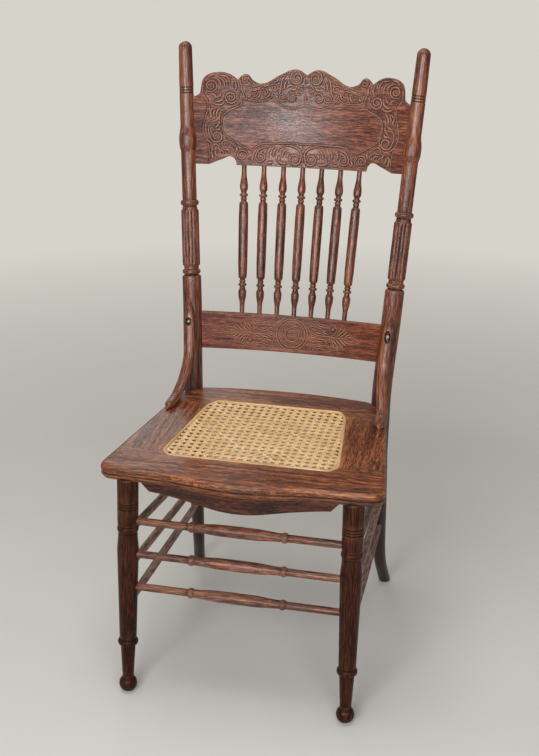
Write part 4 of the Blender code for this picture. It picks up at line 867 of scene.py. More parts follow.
# Crest ornament, one half, in millimetres across and up the board
PANEL_TOP = ((0, 332.6), (8.9, 329.9), (18.6, 326.5), (29.7, 325.4), (42, 328.5), (53, 335), (59.2, 341.5),
             (62.5, 348.5))
PANEL_SHOULDER = ((62.5, 348.5), (73.6, 340.5), (83.4, 337.1), (93, 336.5), (103, 337.5), (113, 338.5))
PANEL_SIDE = ((113, 341), (117, 338), (120.6, 333), (127, 326), (137, 321), (147, 315.5), (154, 309),
              (157.5, 300), (158, 291), (156.5, 283), (154, 274))
PANEL_FOOT = ((154, 274), (147, 266), (136.5, 259), (124, 252), (112, 246), (98, 242))
PANEL_ARCH = ((100.7, 236), (97, 243), (88, 251.5), (77, 255.5), (62, 256.5), (46, 257), (25, 257.5),
              (0, 257.5))
MARGIN_UPPER = ((193, 346), (189, 340), (185, 334), (183.5, 327), (184, 315), (187, 302), (189.5, 290),
                (190.5, 280), (188, 269), (183, 260), (177, 255))
MARGIN_LOWER = ((181, 251), (178.7, 240), (177.8, 225), (178, 213))
MARGIN_BACK = ((0, 200), (0, 420), (193, 420))
CREST_LINES = (
    ((34, 394.5), (50, 387.5), (66.7, 377.6), (83, 369), (99.5, 363.7), (111, 361), (117, 364)),
    ((36, 391), (52, 383.5), (69, 373.5), (84, 365.6), (99, 360), (109, 357)),
    ((113, 341), (115, 348), (114, 354), (109, 357)),
    ((120.5, 371), (123, 362), (121, 351), (117.5, 343), (117, 338)),
    ((131, 380), (126, 371), (124.5, 360), (125, 350)),
    ((188, 254), (182, 257.5), (176, 252.5), (171, 254)),
)
# Scrolls: the stem that runs into each, then its middle, radius, turns, starting angle and hand
CREST_SCROLLS = (
    (((3, 386),), 18.5, 383, 13.5, 1.7, 128, -1),
    (((2, 365),), 10, 361, 7, 1.3, 140, -1),
    (((9, 349), (14, 352.5)), 26, 346, 9.5, 1.4, 141, -1),
    (((35, 353), (36.5, 348)), 45, 346, 8, 1.4, 195, 1),
    (((112, 352), (107, 355)), 99, 350, 6.5, 1.3, 60, 1),
    (((93, 357), (88, 359.5)), 80, 354, 7, 1.3, 60, 1),
    (((75, 362), (70, 367)), 61, 363, 7.5, 1.3, 55, 1),
    (((103, 366), (105, 371)), 116.5, 376.5, 8.5, 1.3, 180, -1),
    (((128, 352), (128.5, 342)), 142.5, 341.5, 11.5, 1.5, 215, 1),
    (((188, 351),), 179, 362, 11, 1.6, 270, -1),
    (((169, 291), (177, 289), (181, 282), (180.5, 273)), 166, 266, 11.5, 1.4, -10, -1),
    (((49, 240), (45, 247), (37, 253), (25, 254), (13, 250), (5, 243), (3.5, 235)),
     16, 228, 11.5, 1.5, 180, 1),
    (((56, 252), (66, 251), (80, 247), (88, 242)), 82.5, 230, 10, 1.5, 28, -1),
    (((104, 221), (106, 230)), 118, 231.5, 10, 1.5, 155, -1),
    (((135, 247),), 150, 251, 8, 1.3, 168, -1),
)
CREST_LEAVES = (
    ((40, 388), (47, 379), (49, 368), (54, 359)), ((36, 380), (41, 372), (42, 364), (38, 357)),
    ((46, 366), (50, 360), (51, 354), (57, 349)), ((24, 367), (30, 369), (36, 366), (38, 360)),
    ((18, 365), (23, 361), (30, 361)), ((53, 382), (57, 376), (66, 373)), ((70, 372), (75, 367), (84, 364)),
    ((70, 357), (70, 350), (75, 344)), ((66, 354), (65, 350), (69, 346)), ((89, 352), (90, 346), (94, 341)),
    ((107, 349), (108, 345), (112, 343)), ((88, 362), (94, 359), (102, 359)),
    ((165, 382), (152, 380), (146, 371), (146, 360)), ((172, 380), (162, 376), (156, 369), (155, 358)),
    ((181, 377), (170, 376), (163, 369), (162, 358)), ((140, 377), (135, 369), (134, 360), (137, 353)),
    ((150, 383), (141, 381), (136, 375)), ((188, 374), (180, 381), (170, 384)),
    ((160, 352), (163, 344), (170, 340), (178, 341)), ((155, 349), (157, 339), (164, 333), (173, 332)),
    ((153, 332), (160, 327), (169, 327), (177, 331)), ((160, 322), (166, 315), (168, 307), (166, 300)),
    ((183, 298), (177, 304), (179, 311), (176, 318), (169, 321)), ((164, 336), (173, 345), (181, 347)),
    ((180, 327), (181, 318), (180, 309)), ((161, 296), (165, 287), (171, 281)),
    ((163, 303), (169, 296), (178, 293)), ((160, 310), (163, 303), (162, 295)),
    ((160, 284), (163, 279), (170, 279)), ((172, 305), (173, 312), (169, 317)),
    ((130, 236), (128, 243), (131, 249)), ((134, 237), (136, 243), (141, 247)),
    ((141, 234), (144, 240), (150, 243)), ((158, 231), (159, 239), (164, 246)),
    ((163, 226), (167, 233), (168, 241)), ((170, 221), (173, 228), (173, 237)),
    ((152, 232), (154, 237), (159, 242)), ((162, 249), (168, 251), (174, 247)),
    ((170, 243), (174, 238), (175, 230)), ((30, 247), (37, 243), (40, 236), (38, 228)),
    ((50, 250), (56, 244), (58, 236), (54, 228)), ((62, 248), (68, 242), (69, 235), (66, 227)),
    ((28, 221), (37, 219), (46, 221), (53, 226)), ((58, 221), (65, 219), (72, 220)),
    ((96, 232), (99, 226), (97, 219)), ((26, 240), (31, 235), (30, 228)), ((46, 233), (47, 227), (43, 223)),
    ((76, 243), (82, 240), (85, 238)),
)
CREST_DOTS = ((0, 345, 2.4), (0, 376, 2.0), (0, 225, 2.0), (0, 248, 1.8))


def crest_knots():
    """The CAD's scrolled outline of the crest, as x, height and whether it turns a corner there."""
    top_end, bottom_end = [post_axis(CREST.point(0.0, up)[2])[0][0] for up in (CREST_SHOULDER, CREST_BOTTOM)]
    foot = 0.2285 - CREST_BOTTOM
    half = [
        (0.0, 0.389, True), (0.0215, 0.3995, False), (0.050, 0.389, False), (0.086, 0.3705, False),
        (0.103, 0.3745, False), (0.118, 0.3868, False), (0.133, 0.3755, True), (0.1506, 0.3865, False),
        (0.168, 0.3885, False), (0.19004, 0.380085, False), (0.197, 0.36375, False), (0.196, 0.35088, True),
        ((0.197 + top_end) / 2 - 0.004, 0.342, False), (top_end, CREST_SHOULDER, True),
        (bottom_end, CREST_BOTTOM, True), (0.181, CREST_BOTTOM, True),
        (0.15895, CREST_BOTTOM + 0.6 * foot, False), (0.14005, CREST_BOTTOM + foot, False),
        (0.1306, CREST_BOTTOM + 0.55 * foot, False), (0.1285, CREST_BOTTOM, True),
    ]
    return half + [(-x, up, corner) for x, up, corner in reversed(half) if x > 0]


def curve_outline(knots, resolution):
    """Points round a closed outline, on the same curve as the CAD source cuts."""
    curve = bpy.data.curves.new("outline", "CURVE")
    curve.dimensions = "2D"
    curve.fill_mode = "NONE"
    curve.resolution_u = resolution
    line = curve.splines.new("BEZIER")
    line.bezier_points.add(len(knots) - 1)
    for point, (x, y, corner) in zip(line.bezier_points, knots):
        point.co = (x, y, 0.0)
        point.handle_left_type = point.handle_right_type = "VECTOR" if corner else "AUTO"
    line.use_cyclic_u = True
    holder = link("outline", curve)
    mesh = evaluated_mesh(holder)
    points = places_of(mesh)[:, :2]
    bpy.data.objects.remove(holder, do_unlink=True)
    bpy.data.curves.remove(curve)
    bpy.data.meshes.remove(mesh)
    return points


def column_span(outline, xs):
    """The lowest and highest point of an outline on each upright line."""
    low = np.full(len(xs), 1e9)
    high = -low
    for (ax, ay), (bx, by) in edges_of(outline):
        if ax == bx:
            continue
        hit = (xs >= min(ax, bx)) & (xs <= max(ax, bx))
        y = ay + (xs[hit] - ax) * (by - ay) / (bx - ax)
        low[hit] = np.minimum(low[hit], y)
        high[hit] = np.maximum(high[hit], y)
    return low, high


def crest_relief(x, t):
    """The pressed height over the crest's front, in millimetres. The plain panel and margins stay level."""
    ax = np.abs(x)
    panel = np.vstack([resample(part)[:-1] for part in (PANEL_TOP, PANEL_SHOULDER, PANEL_SIDE, PANEL_FOOT)]
                      + [resample(PANEL_ARCH[1:])])
    margin = np.vstack((resample(MARGIN_UPPER), resample(MARGIN_LOWER), MARGIN_BACK))
    inside = polygon_gap(ax, t, np.vstack((panel, (panel * (-1, 1))[::-1])))
    ground = smooth(np.clip(np.minimum(polygon_gap(ax, t, margin), -inside) / 1.6, 0.0, 1.0))
    relief = Relief(ax, t)
    relief.strokes((PANEL_TOP, PANEL_SHOULDER, PANEL_SIDE, PANEL_FOOT, PANEL_ARCH), *PANEL_STYLE)
    relief.strokes((MARGIN_UPPER, MARGIN_LOWER), *MARGIN_STYLE)
    relief.strokes(CREST_LINES, *LINE_STYLE)
    for stem, *turned in CREST_SCROLLS:
        relief.stroke(np.vstack((stem, spiral(*turned))), min(1.75, 0.8 + 0.08 * turned[2]), *SCROLL_STYLE)
    relief.strokes(CREST_LEAVES, *LEAF_STYLE)
    for place in CREST_DOTS:
        relief.dot(*place, 1.2)
    return relief.height() - 0.75 * ground + ground * ground_texture(x, t) * (relief.rise < 0.1)


# Lower rail ornament, the left spray, from the middle of the roundel
SLAT_STEM = ((-32, -18), (-34.5, -13), (-41, -7.5), (-50, -3.6), (-62, -2.4), (-76, -2.4), (-89, -1.2),
             (-104, -1.2), (-113, 0.0))
SLAT_TIP = (((-110, 1.2), (-117, 7.0), (-126, 8.8), (-133, 5.8), (-140, 2.4)),
            ((-110, -2.4), (-118, -5.6), (-127, -4.6), (-140, 2.4)), ((-114, 1.4), (-122, 2.6), (-132, 2.8)))
SLAT_LINES = (
    ((-79, -2.8), (-86, -6.6), (-90.2, -13), (-90, -20.5), (-85.5, -25.6), (-79.5, -25.4), (-75.6, -21)),
    ((-74.5, -21.2), (-60.5, -20.6), (-53, -22.6), (-47, -27.6), (-42, -29.8), (-37, -28.8)),
    ((-73.5, -25.4), (-60.5, -24.8), (-54, -27.6), (-48.5, -31.4)),
    ((-60, -16.6), (-51.5, -17.8), (-46.6, -23.4), (-42.4, -25.4), (-38.2, -22.4), (-41.4, -19.2),
     (-43.8, -21.4)),
    ((-76, 15.6), (-64, 16.4), (-52, 15.8), (-38.5, 17.6)),
    ((-72.5, 11.5), (-68.5, 6.2), (-60, 4.2), (-50, 4.6), (-44, 4.2)),
    ((-45, 25.6), (-42.4, 29.4), (-37, 30), (-33.4, 27), (-35.6, 23.6), (-39.4, 25)),
    ((-83, 23.6), (-79.5, 27), (-75, 25.6), (-76.4, 22.2), (-80, 22.4)),
    ((-70, 25), (-60, 23), (-50, 22.4)),
)
SLAT_LEAVES = (
    ((-78, 1.5), (-86, 6.2), (-92, 11.4), (-96.5, 15)), ((-79, 5), (-84, 10), (-87.5, 15.5), (-88.5, 20)),
    ((-88, 1.6), (-96, 7.5), (-102.5, 14), (-106, 18.4)), ((-97, 1.2), (-105, 6.6), (-110, 11), (-114, 14.4)),
    ((-105, 1.6), (-112, 6.4), (-118, 10.6)), ((-92, 13.5), (-95.5, 18.5), (-96, 23.5)),
    ((-90, -3.4), (-97, -8.4), (-103.5, -15.4), (-108, -21.4)),
    ((-98, -3.4), (-105, -8), (-110.5, -13.4), (-113, -17)),
    ((-107, -3.8), (-114, -8.6), (-122, -12.4)), ((-95, -13), (-99, -19), (-101, -24.6)),
    ((-63, 10.6), (-57, 9), (-50, 11)), ((-49, 9.4), (-44, 10.8), (-38.5, 10.4)),
    ((-47, 2.6), (-42, 2.4), (-37.5, 0.4)), ((-46, -1.6), (-41, -2.2), (-36.8, -4.4)),
    ((-60, -7.4), (-52, -8), (-45, -12)), ((-51, -13), (-45, -13.8), (-38, -17)),
    ((-74, -7), (-67, -8.4), (-60, -12)), ((-71, -14.2), (-65, -13), (-57, -13.8)),
    ((-66, 19.6), (-58, 19.4), (-50, 18.8)),
)
SLAT_EYE = (-83, -16.4, 3.4, 1.0)
# The roundel: radius, width and height of its rings, then its beads, its boss and its edge
SLAT_RINGS = ((31.2, 1.2, 1.0), (26.4, 1.1, 1.0), (13.8, 1.2, 1.0))
SLAT_BEAD_CIRCLE = 20.6
SLAT_BEAD_COUNT = 30
SLAT_BEAD = (1.5, 1.0)
SLAT_BOSS = 12.2
SLAT_ROUNDEL = 33.2


def slat_relief(x, t):
    """The lower rail's pressed height, in millimetres. The right spray is the left one turned half round."""
    total = np.zeros(x.shape)
    for turn in (1, -1):
        relief = Relief(x * turn, t * turn)
        relief.stroke(SLAT_STEM, *STEM_STYLE)
        relief.strokes(SLAT_TIP, *TIP_STYLE)
        relief.strokes(SLAT_LINES, *SPRAY_STYLE)
        relief.strokes(SLAT_LEAVES, *SPRAY_LEAF_STYLE)
        relief.dot(*SLAT_EYE)
        height = relief.height()
        total = np.where(np.abs(height) > np.abs(total), height, total)
    middle = Relief(x, t)
    for ring in SLAT_RINGS:
        middle.ring(*ring)
    for turn in turns(SLAT_BEAD_COUNT):
        middle.dot(SLAT_BEAD_CIRCLE * math.cos(turn), SLAT_BEAD_CIRCLE * math.sin(turn), *SLAT_BEAD)
    gap = np.hypot(x, t)
    boss = 0.5 * np.clip(1 - (gap / SLAT_BOSS) ** 4, 0.0, 1.0)
    return np.where(gap < SLAT_ROUNDEL, middle.height() + boss, total)


def blur(values, passes):
    for _ in range(passes):
        padded = np.pad(values, 1, mode="edge")
        beside = padded[:-2, 1:-1] + padded[2:, 1:-1] + padded[1:-1, :-2] + padded[1:-1, 2:]
        values = (beside + 2 * values) / 6
    return values


BOARD_EDGE = 0.0032
BOARD_BACK_ROWS = 10
BOARD_SHARP = math.radians(60)
# Columns and rows of points on each front
CREST_GRID = (540, 200)
SLAT_GRID = (560, 104)
SLAT_END_IN = 0.003
CREST_CURVE_STEPS = 24
# In millimetres: how deep below or above the ground around it, and how near to the edge. Below the ground the
# mark is painted shade in the grooves, above it a painted highlight on the ridges
BOARD_GROOVE_SHADE = (0.08, 0.50)
BOARD_RIDGE_HIGHLIGHT = (0.06, 0.46)
RELIEF_FROM_EDGE = (0.6, 3.0)
RELIEF_FROM_ENDS = (0.0, 6.0)


def pressed_board(name, node, board, outline, end_x, thickness, relief, material, columns, rows):
    """A bowed board whose front carries a pressed relief, with rounded edges and a plain back."""
    xs = np.linspace(-end_x, end_x, columns)
    low, high = column_span(outline, xs)

    def sheet(share):
        x = np.repeat(xs[:, None], len(share), axis=1)
        t = low[:, None] + share * (high - low)[:, None]
        gap = np.maximum(polygon_gap(x, t, outline), 0.0)
        gap[:, (0, -1)] = 0.0
        inner = np.clip(BOARD_EDGE - gap, 0.0, BOARD_EDGE)
        return x, t, gap, thickness / 2 - BOARD_EDGE + np.sqrt(BOARD_EDGE**2 - inner**2)

    spread = np.linspace(0, 1, rows)
    x, t, gap, front = sheet(0.25 * (0.5 - 0.5 * np.cos(np.pi * spread)) + 0.75 * spread)
    height = blur(relief(x / MM, t / MM), 1)
    depth = blur(height, 8) - height
    near_edge = ramp(gap / MM, *RELIEF_FROM_EDGE)
    front += height * MM * near_edge * ramp((end_x - np.abs(x)) / MM, *RELIEF_FROM_ENDS)
    spread = np.linspace(1, -1, BOARD_BACK_ROWS)
    back_x, back_t, _, back = sheet(0.5 + 0.5 * np.sign(spread) * np.abs(spread) ** 0.45)
    layout = [np.concatenate(pair, axis=1) for pair in ((x, back_x), (t, back_t), (front, -back))]
    # Painted shade in the grooves and painted highlights on the ridges of the pressed ornament
    fields = (ramp(depth, *BOARD_GROOVE_SHADE), ramp(-depth, *BOARD_RIDGE_HIGHLIGHT))
    marks = [np.pad(field * near_edge, ((0, 0), (0, BOARD_BACK_ROWS))).ravel() for field in fields]
    faces = ring_faces(columns, rows + BOARD_BACK_ROWS)
    grain = np.stack(layout, axis=-1)
    make_piece(name, board.point(*layout), faces, material, node, grain, marks, BOARD_SHARP)


def make_boards():
    outline = curve_outline(crest_knots(), CREST_CURVE_STEPS)
    pressed_board("crest_rail_pressed", "crest_rail", CREST, outline, CREST_END_X, CREST_THICKNESS,
                  crest_relief, RAIL_OAK, *CREST_GRID)
    half = SLAT_HEIGHT / 2
    end = post_axis(SLAT_LEVEL)[0][0] - SLAT_END_IN
    past = end * 1.1
    box = np.array(((-past, -half), (past, -half), (past, half), (-past, half)))
    pressed_board("lower_back_rail_pressed", "lower_back_rail", SLAT, box, end, SLAT_THICKNESS, slat_relief,
                  SLAT_OAK, *SLAT_GRID)


# Spindles

SPINDLE_SIDES = 28


def spindle_turning(length):
    t = Turning(-0.004, 0.0045)
    t.run(0.006, 0.0047, 3).run(0.0155, 0.0049, 3).run(0.036, 0.0078, 9, True).run(0.042, 0.0080, 3)
    t.run(0.0507, 0.0055, 7, True).run(0.0534, 0.0052, 1).bead(0.0064, 0.0032, 8)
    t.run(0.0618, 0.0052, 1).bead(0.0040, 0.0012, 6).run(0.0684, 0.0055, 1).shoulder(0.0062, 0.0085, 6)
    t.run(0.100, 0.0092, 5).run(length / 2, 0.0094, 8).run(length - 0.100, 0.0094, 8)
    t.run(length - 0.0770, 0.0088, 4).shoulder(0.0064, 0.0056, 6, True).run(length - 0.0670, 0.0053, 1)
    t.bead(0.0040, 0.0012, 6).run(length - 0.0610, 0.0052, 1).bead(0.0064, 0.0032, 8)
    t.run(length - 0.0528, 0.0052, 1).run(length - 0.0460, 0.0078, 6, True).run(length - 0.0415, 0.0080, 3)
    return t.run(length - 0.015, 0.0049, 10, True).run(length + 0.004, 0.0046, 4)


def make_spindles():
    for number in range(1, SPINDLE_COUNT + 1):
        place = number - (SPINDLE_COUNT + 1) / 2
        foot = SLAT.point(place * SPINDLE_LOWER_SPACING, SLAT_HEIGHT / 2)
        head = CREST.point(place * SPINDLE_UPPER_SPACING, CREST_BOTTOM)
        turning = spindle_turning(float(np.linalg.norm(head - foot)))
        turned_piece(f"spindle_{number}", turning, foot, head, SPINDLE_SIDES, SPINDLE_OAK,
                     f"back_spindle_{number}")


# Seat

SEAT_CENTRE = np.array((0.0, -0.012))
SEAT_STEP = 0.0026
SEAT_REAR_EASE = 0.011
OPENING_EASE = 0.0085
RIM_EASE = 0.0008
SEAT_SHARP = math.radians(32)
# Painted shade on the lower band of the seat's outer edge: how dark, and the drops it fades in over
SEAT_EDGE_SHADE = 0.45
SEAT_EDGE_SHADE_DROPS = (0.0125, 0.0155)
# A painted highlight along the top arris of the seat's edge: how strong, at what drop, and how far it reaches
SEAT_EDGE_HIGHLIGHT = 0.6
SEAT_EDGE_HIGHLIGHT_DROP = 0.0020
SEAT_EDGE_HIGHLIGHT_REACH = 0.0018
# The moulded edge of the seat: how far in and how far below the top, from the top down
EDGE_ROUND = [(0.0085 * (1 - math.sin(a)), 0.0080 * (1 - math.cos(a)))
              for a in np.linspace(0.0, math.pi / 2, 9)]
EDGE_LOWER = [(0.0002, 0.0108), (0.0008, 0.0124), (0.0024, 0.0136), (0.0030, 0.0143), (0.0024, 0.0150),
              (0.0010, 0.0158), (0.0004, 0.0175), (0.0005, 0.0195), (0.0014, 0.0212), (0.0030, 0.0222),
              (0.0036, 0.0240)]


def eased(points, cut):
    """An open line whose inner corners are rounded off over this length."""
    points = np.asarray(points, float)
    made = [points[:1]]
    s = np.linspace(0.0, 1.0, 9)[:, None]
    for before, corner, after in zip(points, points[1:], points[2:]):
        start = corner + unit(before - corner) * cut
        end = corner + unit(after - corner) * cut
        made.append((1 - s) ** 2 * start + 2 * s * (1 - s) * corner + s * s * end)
    return np.vstack((*made, points[-1:]))


def even(outline, step):
    """A closed outline with its points an even step apart."""
    closed = np.vstack((outline, outline[:1]))
    along = lengths_along(closed)
    keep = np.concatenate(([True], np.diff(along) > 1e-7))
    at = np.linspace(0.0, along[-1], int(along[-1] / step) + 1)[:-1]
    return np.stack([np.interp(at, along[keep], closed[keep][:, k]) for k in (0, 1)], axis=-1)


def seat_outline():
    """Points round the seat, close together, with eased rear corners."""
    reach = np.linspace(0.0, SEAT_ROUND_X, 110)
    turn = np.linspace(-math.pi / 2, 0.0, 22)[1:]
    round_y = seat_front(SEAT_ROUND_X) + SEAT_CORNER_RADIUS
    corner = np.stack((np.cos(turn), np.sin(turn)), axis=-1) * SEAT_CORNER_RADIUS + (SEAT_ROUND_X, round_y)
    s = np.linspace(1.0, 0.0, 50)
    rear = np.stack((SEAT_REAR_HALF * s, SEAT_REAR_Y + SEAT_REAR_BOW * (1 - s * s)), axis=-1)
    side = eased((corner[-1], SEAT_SIDE_REAR, (SEAT_REAR_HALF, SEAT_REAR_Y), rear[8]), SEAT_REAR_EASE)
    right = np.vstack((np.stack((reach, seat_front(reach)), axis=-1), corner, side[1:], rear[9:]))
    left = right[right[:, 0] > 1e-6][::-1] * (-1, 1)
    return even(np.vstack((right, left)), SEAT_STEP)


def opening_outline():
    corners = list(OPENING_HALF) + [(-x, y) for x, y in reversed(OPENING_HALF)]
    return eased(corners[-1:] + corners + corners[:1], OPENING_EASE)[1:-1]


def outward_normals(outline):
    run = np.roll(outline, -1, axis=0) - np.roll(outline, 1, axis=0)
    return unit(np.stack((run[:, 1], -run[:, 0]), axis=-1))


def crossings(outline, point, direction):
    """How far from a point a line crosses each edge's own line, and at what share of the edge."""
    run = np.roll(outline, -1, axis=0) - outline
    gap = outline - point
    across = direction[0] * run[:, 1] - direction[1] * run[:, 0]
    across = np.where(np.abs(across) < 1e-12, 1e-12, across)
    far = (gap[:, 0] * run[:, 1] - gap[:, 1] * run[:, 0]) / across
    return far, (gap[:, 0] * direction[1] - gap[:, 1] * direction[0]) / across


def ray_hit(outline, centre, towards):
    """Where a ray from the centre crosses a closed outline."""
    far, share = crossings(outline, centre, towards - centre)
    hit = (far > 0) & (share >= -1e-9) & (share <= 1 + 1e-9)
    return centre + (towards - centre) * far[hit][-1]


OPENING = opening_outline()


def make_seat():
    outer = seat_outline()
    normals = outward_normals(outer)
    inner = np.array([ray_hit(OPENING, SEAT_CENTRE, place) for place in outer])
    hole = inner + unit(SEAT_CENTRE - inner) * LEDGE_WIDTH * 1.1
    edge_top = outer - normals * EDGE_ROUND[0][0]
    rim = inner - unit(inner - outer) * RIM_EASE
    under = outer - normals * EDGE_LOWER[-1][0]
    levels = [(rim + (edge_top - rim) * share, 0.0) for share in (0.0, 0.1, 0.3, 0.55, 0.8, 0.95)]
    levels += [(outer - normals * into, drop) for into, drop in EDGE_ROUND + EDGE_LOWER]
    levels += [(under + (hole - under) * share, SEAT_THICKNESS) for share in (0.06, 0.5, 1.0)]
    levels += [(hole, LEDGE_DEPTH), (inner, LEDGE_DEPTH), (inner, RIM_EASE)]
    points = np.vstack([np.insert(flat, 2, SEAT_HEIGHT - drop, axis=1) for flat, drop in levels])
    whole = bpy.data.meshes.new("seat_whole")
    whole.from_pydata((points + DATUM).tolist(), [], ring_faces(len(levels), len(outer), closed=True))
    half = JOINT_GAP / 2
    between = [(FRONT_JOINT_Y + half, (0, -1, 0)), (REAR_JOINT_Y - half, (0, 1, 0))]
    # Where each rail is cut, as the place along Y of each plane and the way to what goes
    cuts = {
        "seat_front_rail": [(FRONT_JOINT_Y - half, (0, 1, 0))],
        "seat_rear_rail": [(REAR_JOINT_Y + half, (0, -1, 0))],
        "seat_side_rail_left": between + [(0.0, (1, 0, 0))],
        "seat_side_rail_right": between + [(0.0, (-1, 0, 0))],
    }
    for node, planes in cuts.items():
        work = bmesh.new()
        work.from_mesh(whole)
        for y, away in planes:
            everything = work.verts[:] + work.edges[:] + work.faces[:]
            bmesh.ops.bisect_plane(work, geom=everything, plane_co=(0, y + DATUM[1], 0), plane_no=away,
                                   clear_outer=True, dist=1e-6)
            bmesh.ops.holes_fill(work, edges=[edge for edge in work.edges if edge.is_boundary], sides=0)
        mesh = to_mesh(work, node)
        places = places_of(mesh)
        grain = places[:, (1, 0, 2) if "side" in node else (0, 1, 2)]
        rail = dress(f"{node}_moulded", mesh, SEAT_OAK, node, grain, sharp=SEAT_SHARP)
        drop = SEAT_HEIGHT - places[:, 2]
        near = np.abs(drop - SEAT_EDGE_HIGHLIGHT_DROP)
        # Painted shade on the lower band of the edge
        deepen(rail, "hollow", SEAT_EDGE_SHADE * ramp(drop, *SEAT_EDGE_SHADE_DROPS))
        # Painted highlight along the top arris
        deepen(rail, "proud", SEAT_EDGE_HIGHLIGHT * ramp(near, SEAT_EDGE_HIGHLIGHT_REACH, 0.0))
    bpy.data.meshes.remove(whole)


# Cane

CANE_PITCH = 0.0146
CANE_WIDTH = 0.0030
CANE_THICK = 0.00055
CANE_PAIR = 0.0018
CANE_DIAGONAL_WIDTH = 0.0034
CANE_LEVEL = SEAT_HEIGHT - 0.0022
CANE_LAYER = 0.00045
CANE_WAVE = 0.00022
CANE_DIAGONAL_WAVE = 0.00018
CANE_REACH = 26
CANE_SHORTEST = 0.008
CANE_TUCK = 0.0030
# The section of a strand, as shares of its width and thickness
CANE_SECTION = np.array(((-0.5, 0.1), (-0.32, 0.44), (0.0, 0.5), (0.32, 0.44), (0.5, 0.1), (0.46, -3.6),
                         (-0.46, -3.6)))
CANE_SHARP = math.radians(70)
CANE_STEP = CANE_PITCH / 4
CANE_DIAGONAL_STEP = CANE_PITCH * math.sqrt(2) / 6
CANE_RIM = 0.0056
CANE_RIM_WIDTH = 0.0018
# How dark the painted shade at the rim of each hole is
CANE_RIM_SHADE = 0.55
SPLINE_IN = 0.0031
SPLINE_STEP = 0.004
SPLINE_LEVEL = SEAT_HEIGHT - 0.0011
SPLINE_SIDES = 12
SPLINE_HALF_WIDTH = 0.0030
SPLINE_RISE = 0.0018
SPLINE_SINK = 0.0015


def cane_strand(point, direction, width, lift, phase, wave):
    """One flat strand, which dips and rises as it passes the others, or nothing where it is too short."""
    point = np.asarray(point) + SEAT_CENTRE
    far, share = crossings(OPENING - outward_normals(OPENING) * CANE_TUCK, point, direction)
    ends = far[(share >= 0) & (share < 1)]
    if len(ends) < 2 or np.ptp(ends) < CANE_SHORTEST:
        return None
    # Rings keep step with the holes of the weave
    slanted = abs(direction[0] * direction[1]) > 0.1
    step, shift = (CANE_DIAGONAL_STEP, 0.5) if slanted else (CANE_STEP, 0.0)
    stops = np.arange(math.ceil(ends.min() / step - shift + 0.1), ends.max() / step - shift - 0.1) + shift
    far = np.concatenate(([ends.min()], stops * step, [ends.max()]))
    wide, tall = (CANE_SECTION * (width, CANE_THICK)).T
    flat = (point + np.outer(far, direction))[:, None] + np.outer(wide, (-direction[1], direction[0]))
    level = CANE_LEVEL + lift + wave * np.cos(phase + math.tau * far / CANE_PITCH)
    points = np.concatenate((flat, (level[:, None] + tall)[..., None]), axis=-1)
    tone = RNG.uniform(-4.0, 4.0, 2)
    grain = np.stack(np.broadcast_arrays(far[:, None] + tone[0], wide + tone[1], tall), axis=-1)
    return points.reshape(-1, 3), grain.reshape(-1, 3)


def cane_rims(points):
    """The painted shade on the cane near the rim of each hole of the weave and on its underside."""
    cell = (points[:, :2] - SEAT_CENTRE) / CANE_PITCH
    gap = np.linalg.norm((cell - np.round(cell)) * CANE_PITCH, axis=1)
    rims = np.clip((CANE_RIM - gap) / CANE_RIM_WIDTH, 0.0, 1.0) * CANE_RIM_SHADE
    under = np.arange(len(points)) % len(CANE_SECTION) >= len(CANE_SECTION) - 2
    return np.where(under, 1.0, rims)


def make_cane():
    strands = []
    for i in range(-CANE_REACH, CANE_REACH):
        middle = (i + 0.5) * CANE_PITCH
        for phase, offset in ((0.0, -CANE_PAIR), (math.pi, CANE_PAIR)):
            at = middle + offset
            strands.append(cane_strand((at, 0.0), (0.0, 1.0), CANE_WIDTH, -CANE_LAYER, phase, CANE_WAVE))
            strands.append(cane_strand((0.0, at), (1.0, 0.0), CANE_WIDTH, 0.0, phase, CANE_WAVE))
        for hand in (1.0, -1.0):
            lift = CANE_LAYER if hand > 0 else 2 * CANE_LAYER
            strands.append(cane_strand((0.0, middle), unit((1.0, hand)), CANE_DIAGONAL_WIDTH, lift, 0.0,
                                       CANE_DIAGONAL_WAVE))
    strands = [strand for strand in strands if strand]
    around = len(CANE_SECTION)
    faces = []
    first = 0
    for points, _ in strands:
        faces += ring_faces(len(points) // around, around, first)
        first += len(points)
    points, grain = [np.vstack(parts) for parts in zip(*strands)]
    marks = (cane_rims(points), np.zeros(len(points)))
    make_piece("cane_weave", points, faces, CANE, "cane_panel", grain, marks, CANE_SHARP)

    line = even(OPENING - outward_normals(OPENING) * SPLINE_IN, SPLINE_STEP)
    turn = turns(SPLINE_SIDES)
    wide = np.cos(turn) * SPLINE_HALF_WIDTH
    tall = np.sin(turn) * np.where(np.sin(turn) > 0, SPLINE_RISE, SPLINE_SINK)
    flat = line[:, None] + outward_normals(line)[:, None] * wide[:, None]
    level = np.broadcast_to((SPLINE_LEVEL + tall)[:, None], (*flat.shape[:2], 1))
    points = np.concatenate((flat, level), axis=-1)
    along = np.arange(len(line)) * SPLINE_STEP
    grain = np.stack(np.broadcast_arrays(along[:, None], wide, tall), axis=-1)
    faces = ring_faces(len(line), SPLINE_SIDES, closed=True)
    make_piece("cane_spline_reed", points, faces, SPLINE_REED, "cane_spline", grain, sharp=CANE_SHARP)


# Legs and stretchers

BALL_HEIGHT = 0.0155
BALL_RADIUS = 0.0165
ANKLE_RADIUS = 0.0100
LEG_SIDES = 56
FRONT_STRETCHER_SHORT = 0.008
FRONT_STRETCHER_SIDES = 28
ROD_SIDES = 24


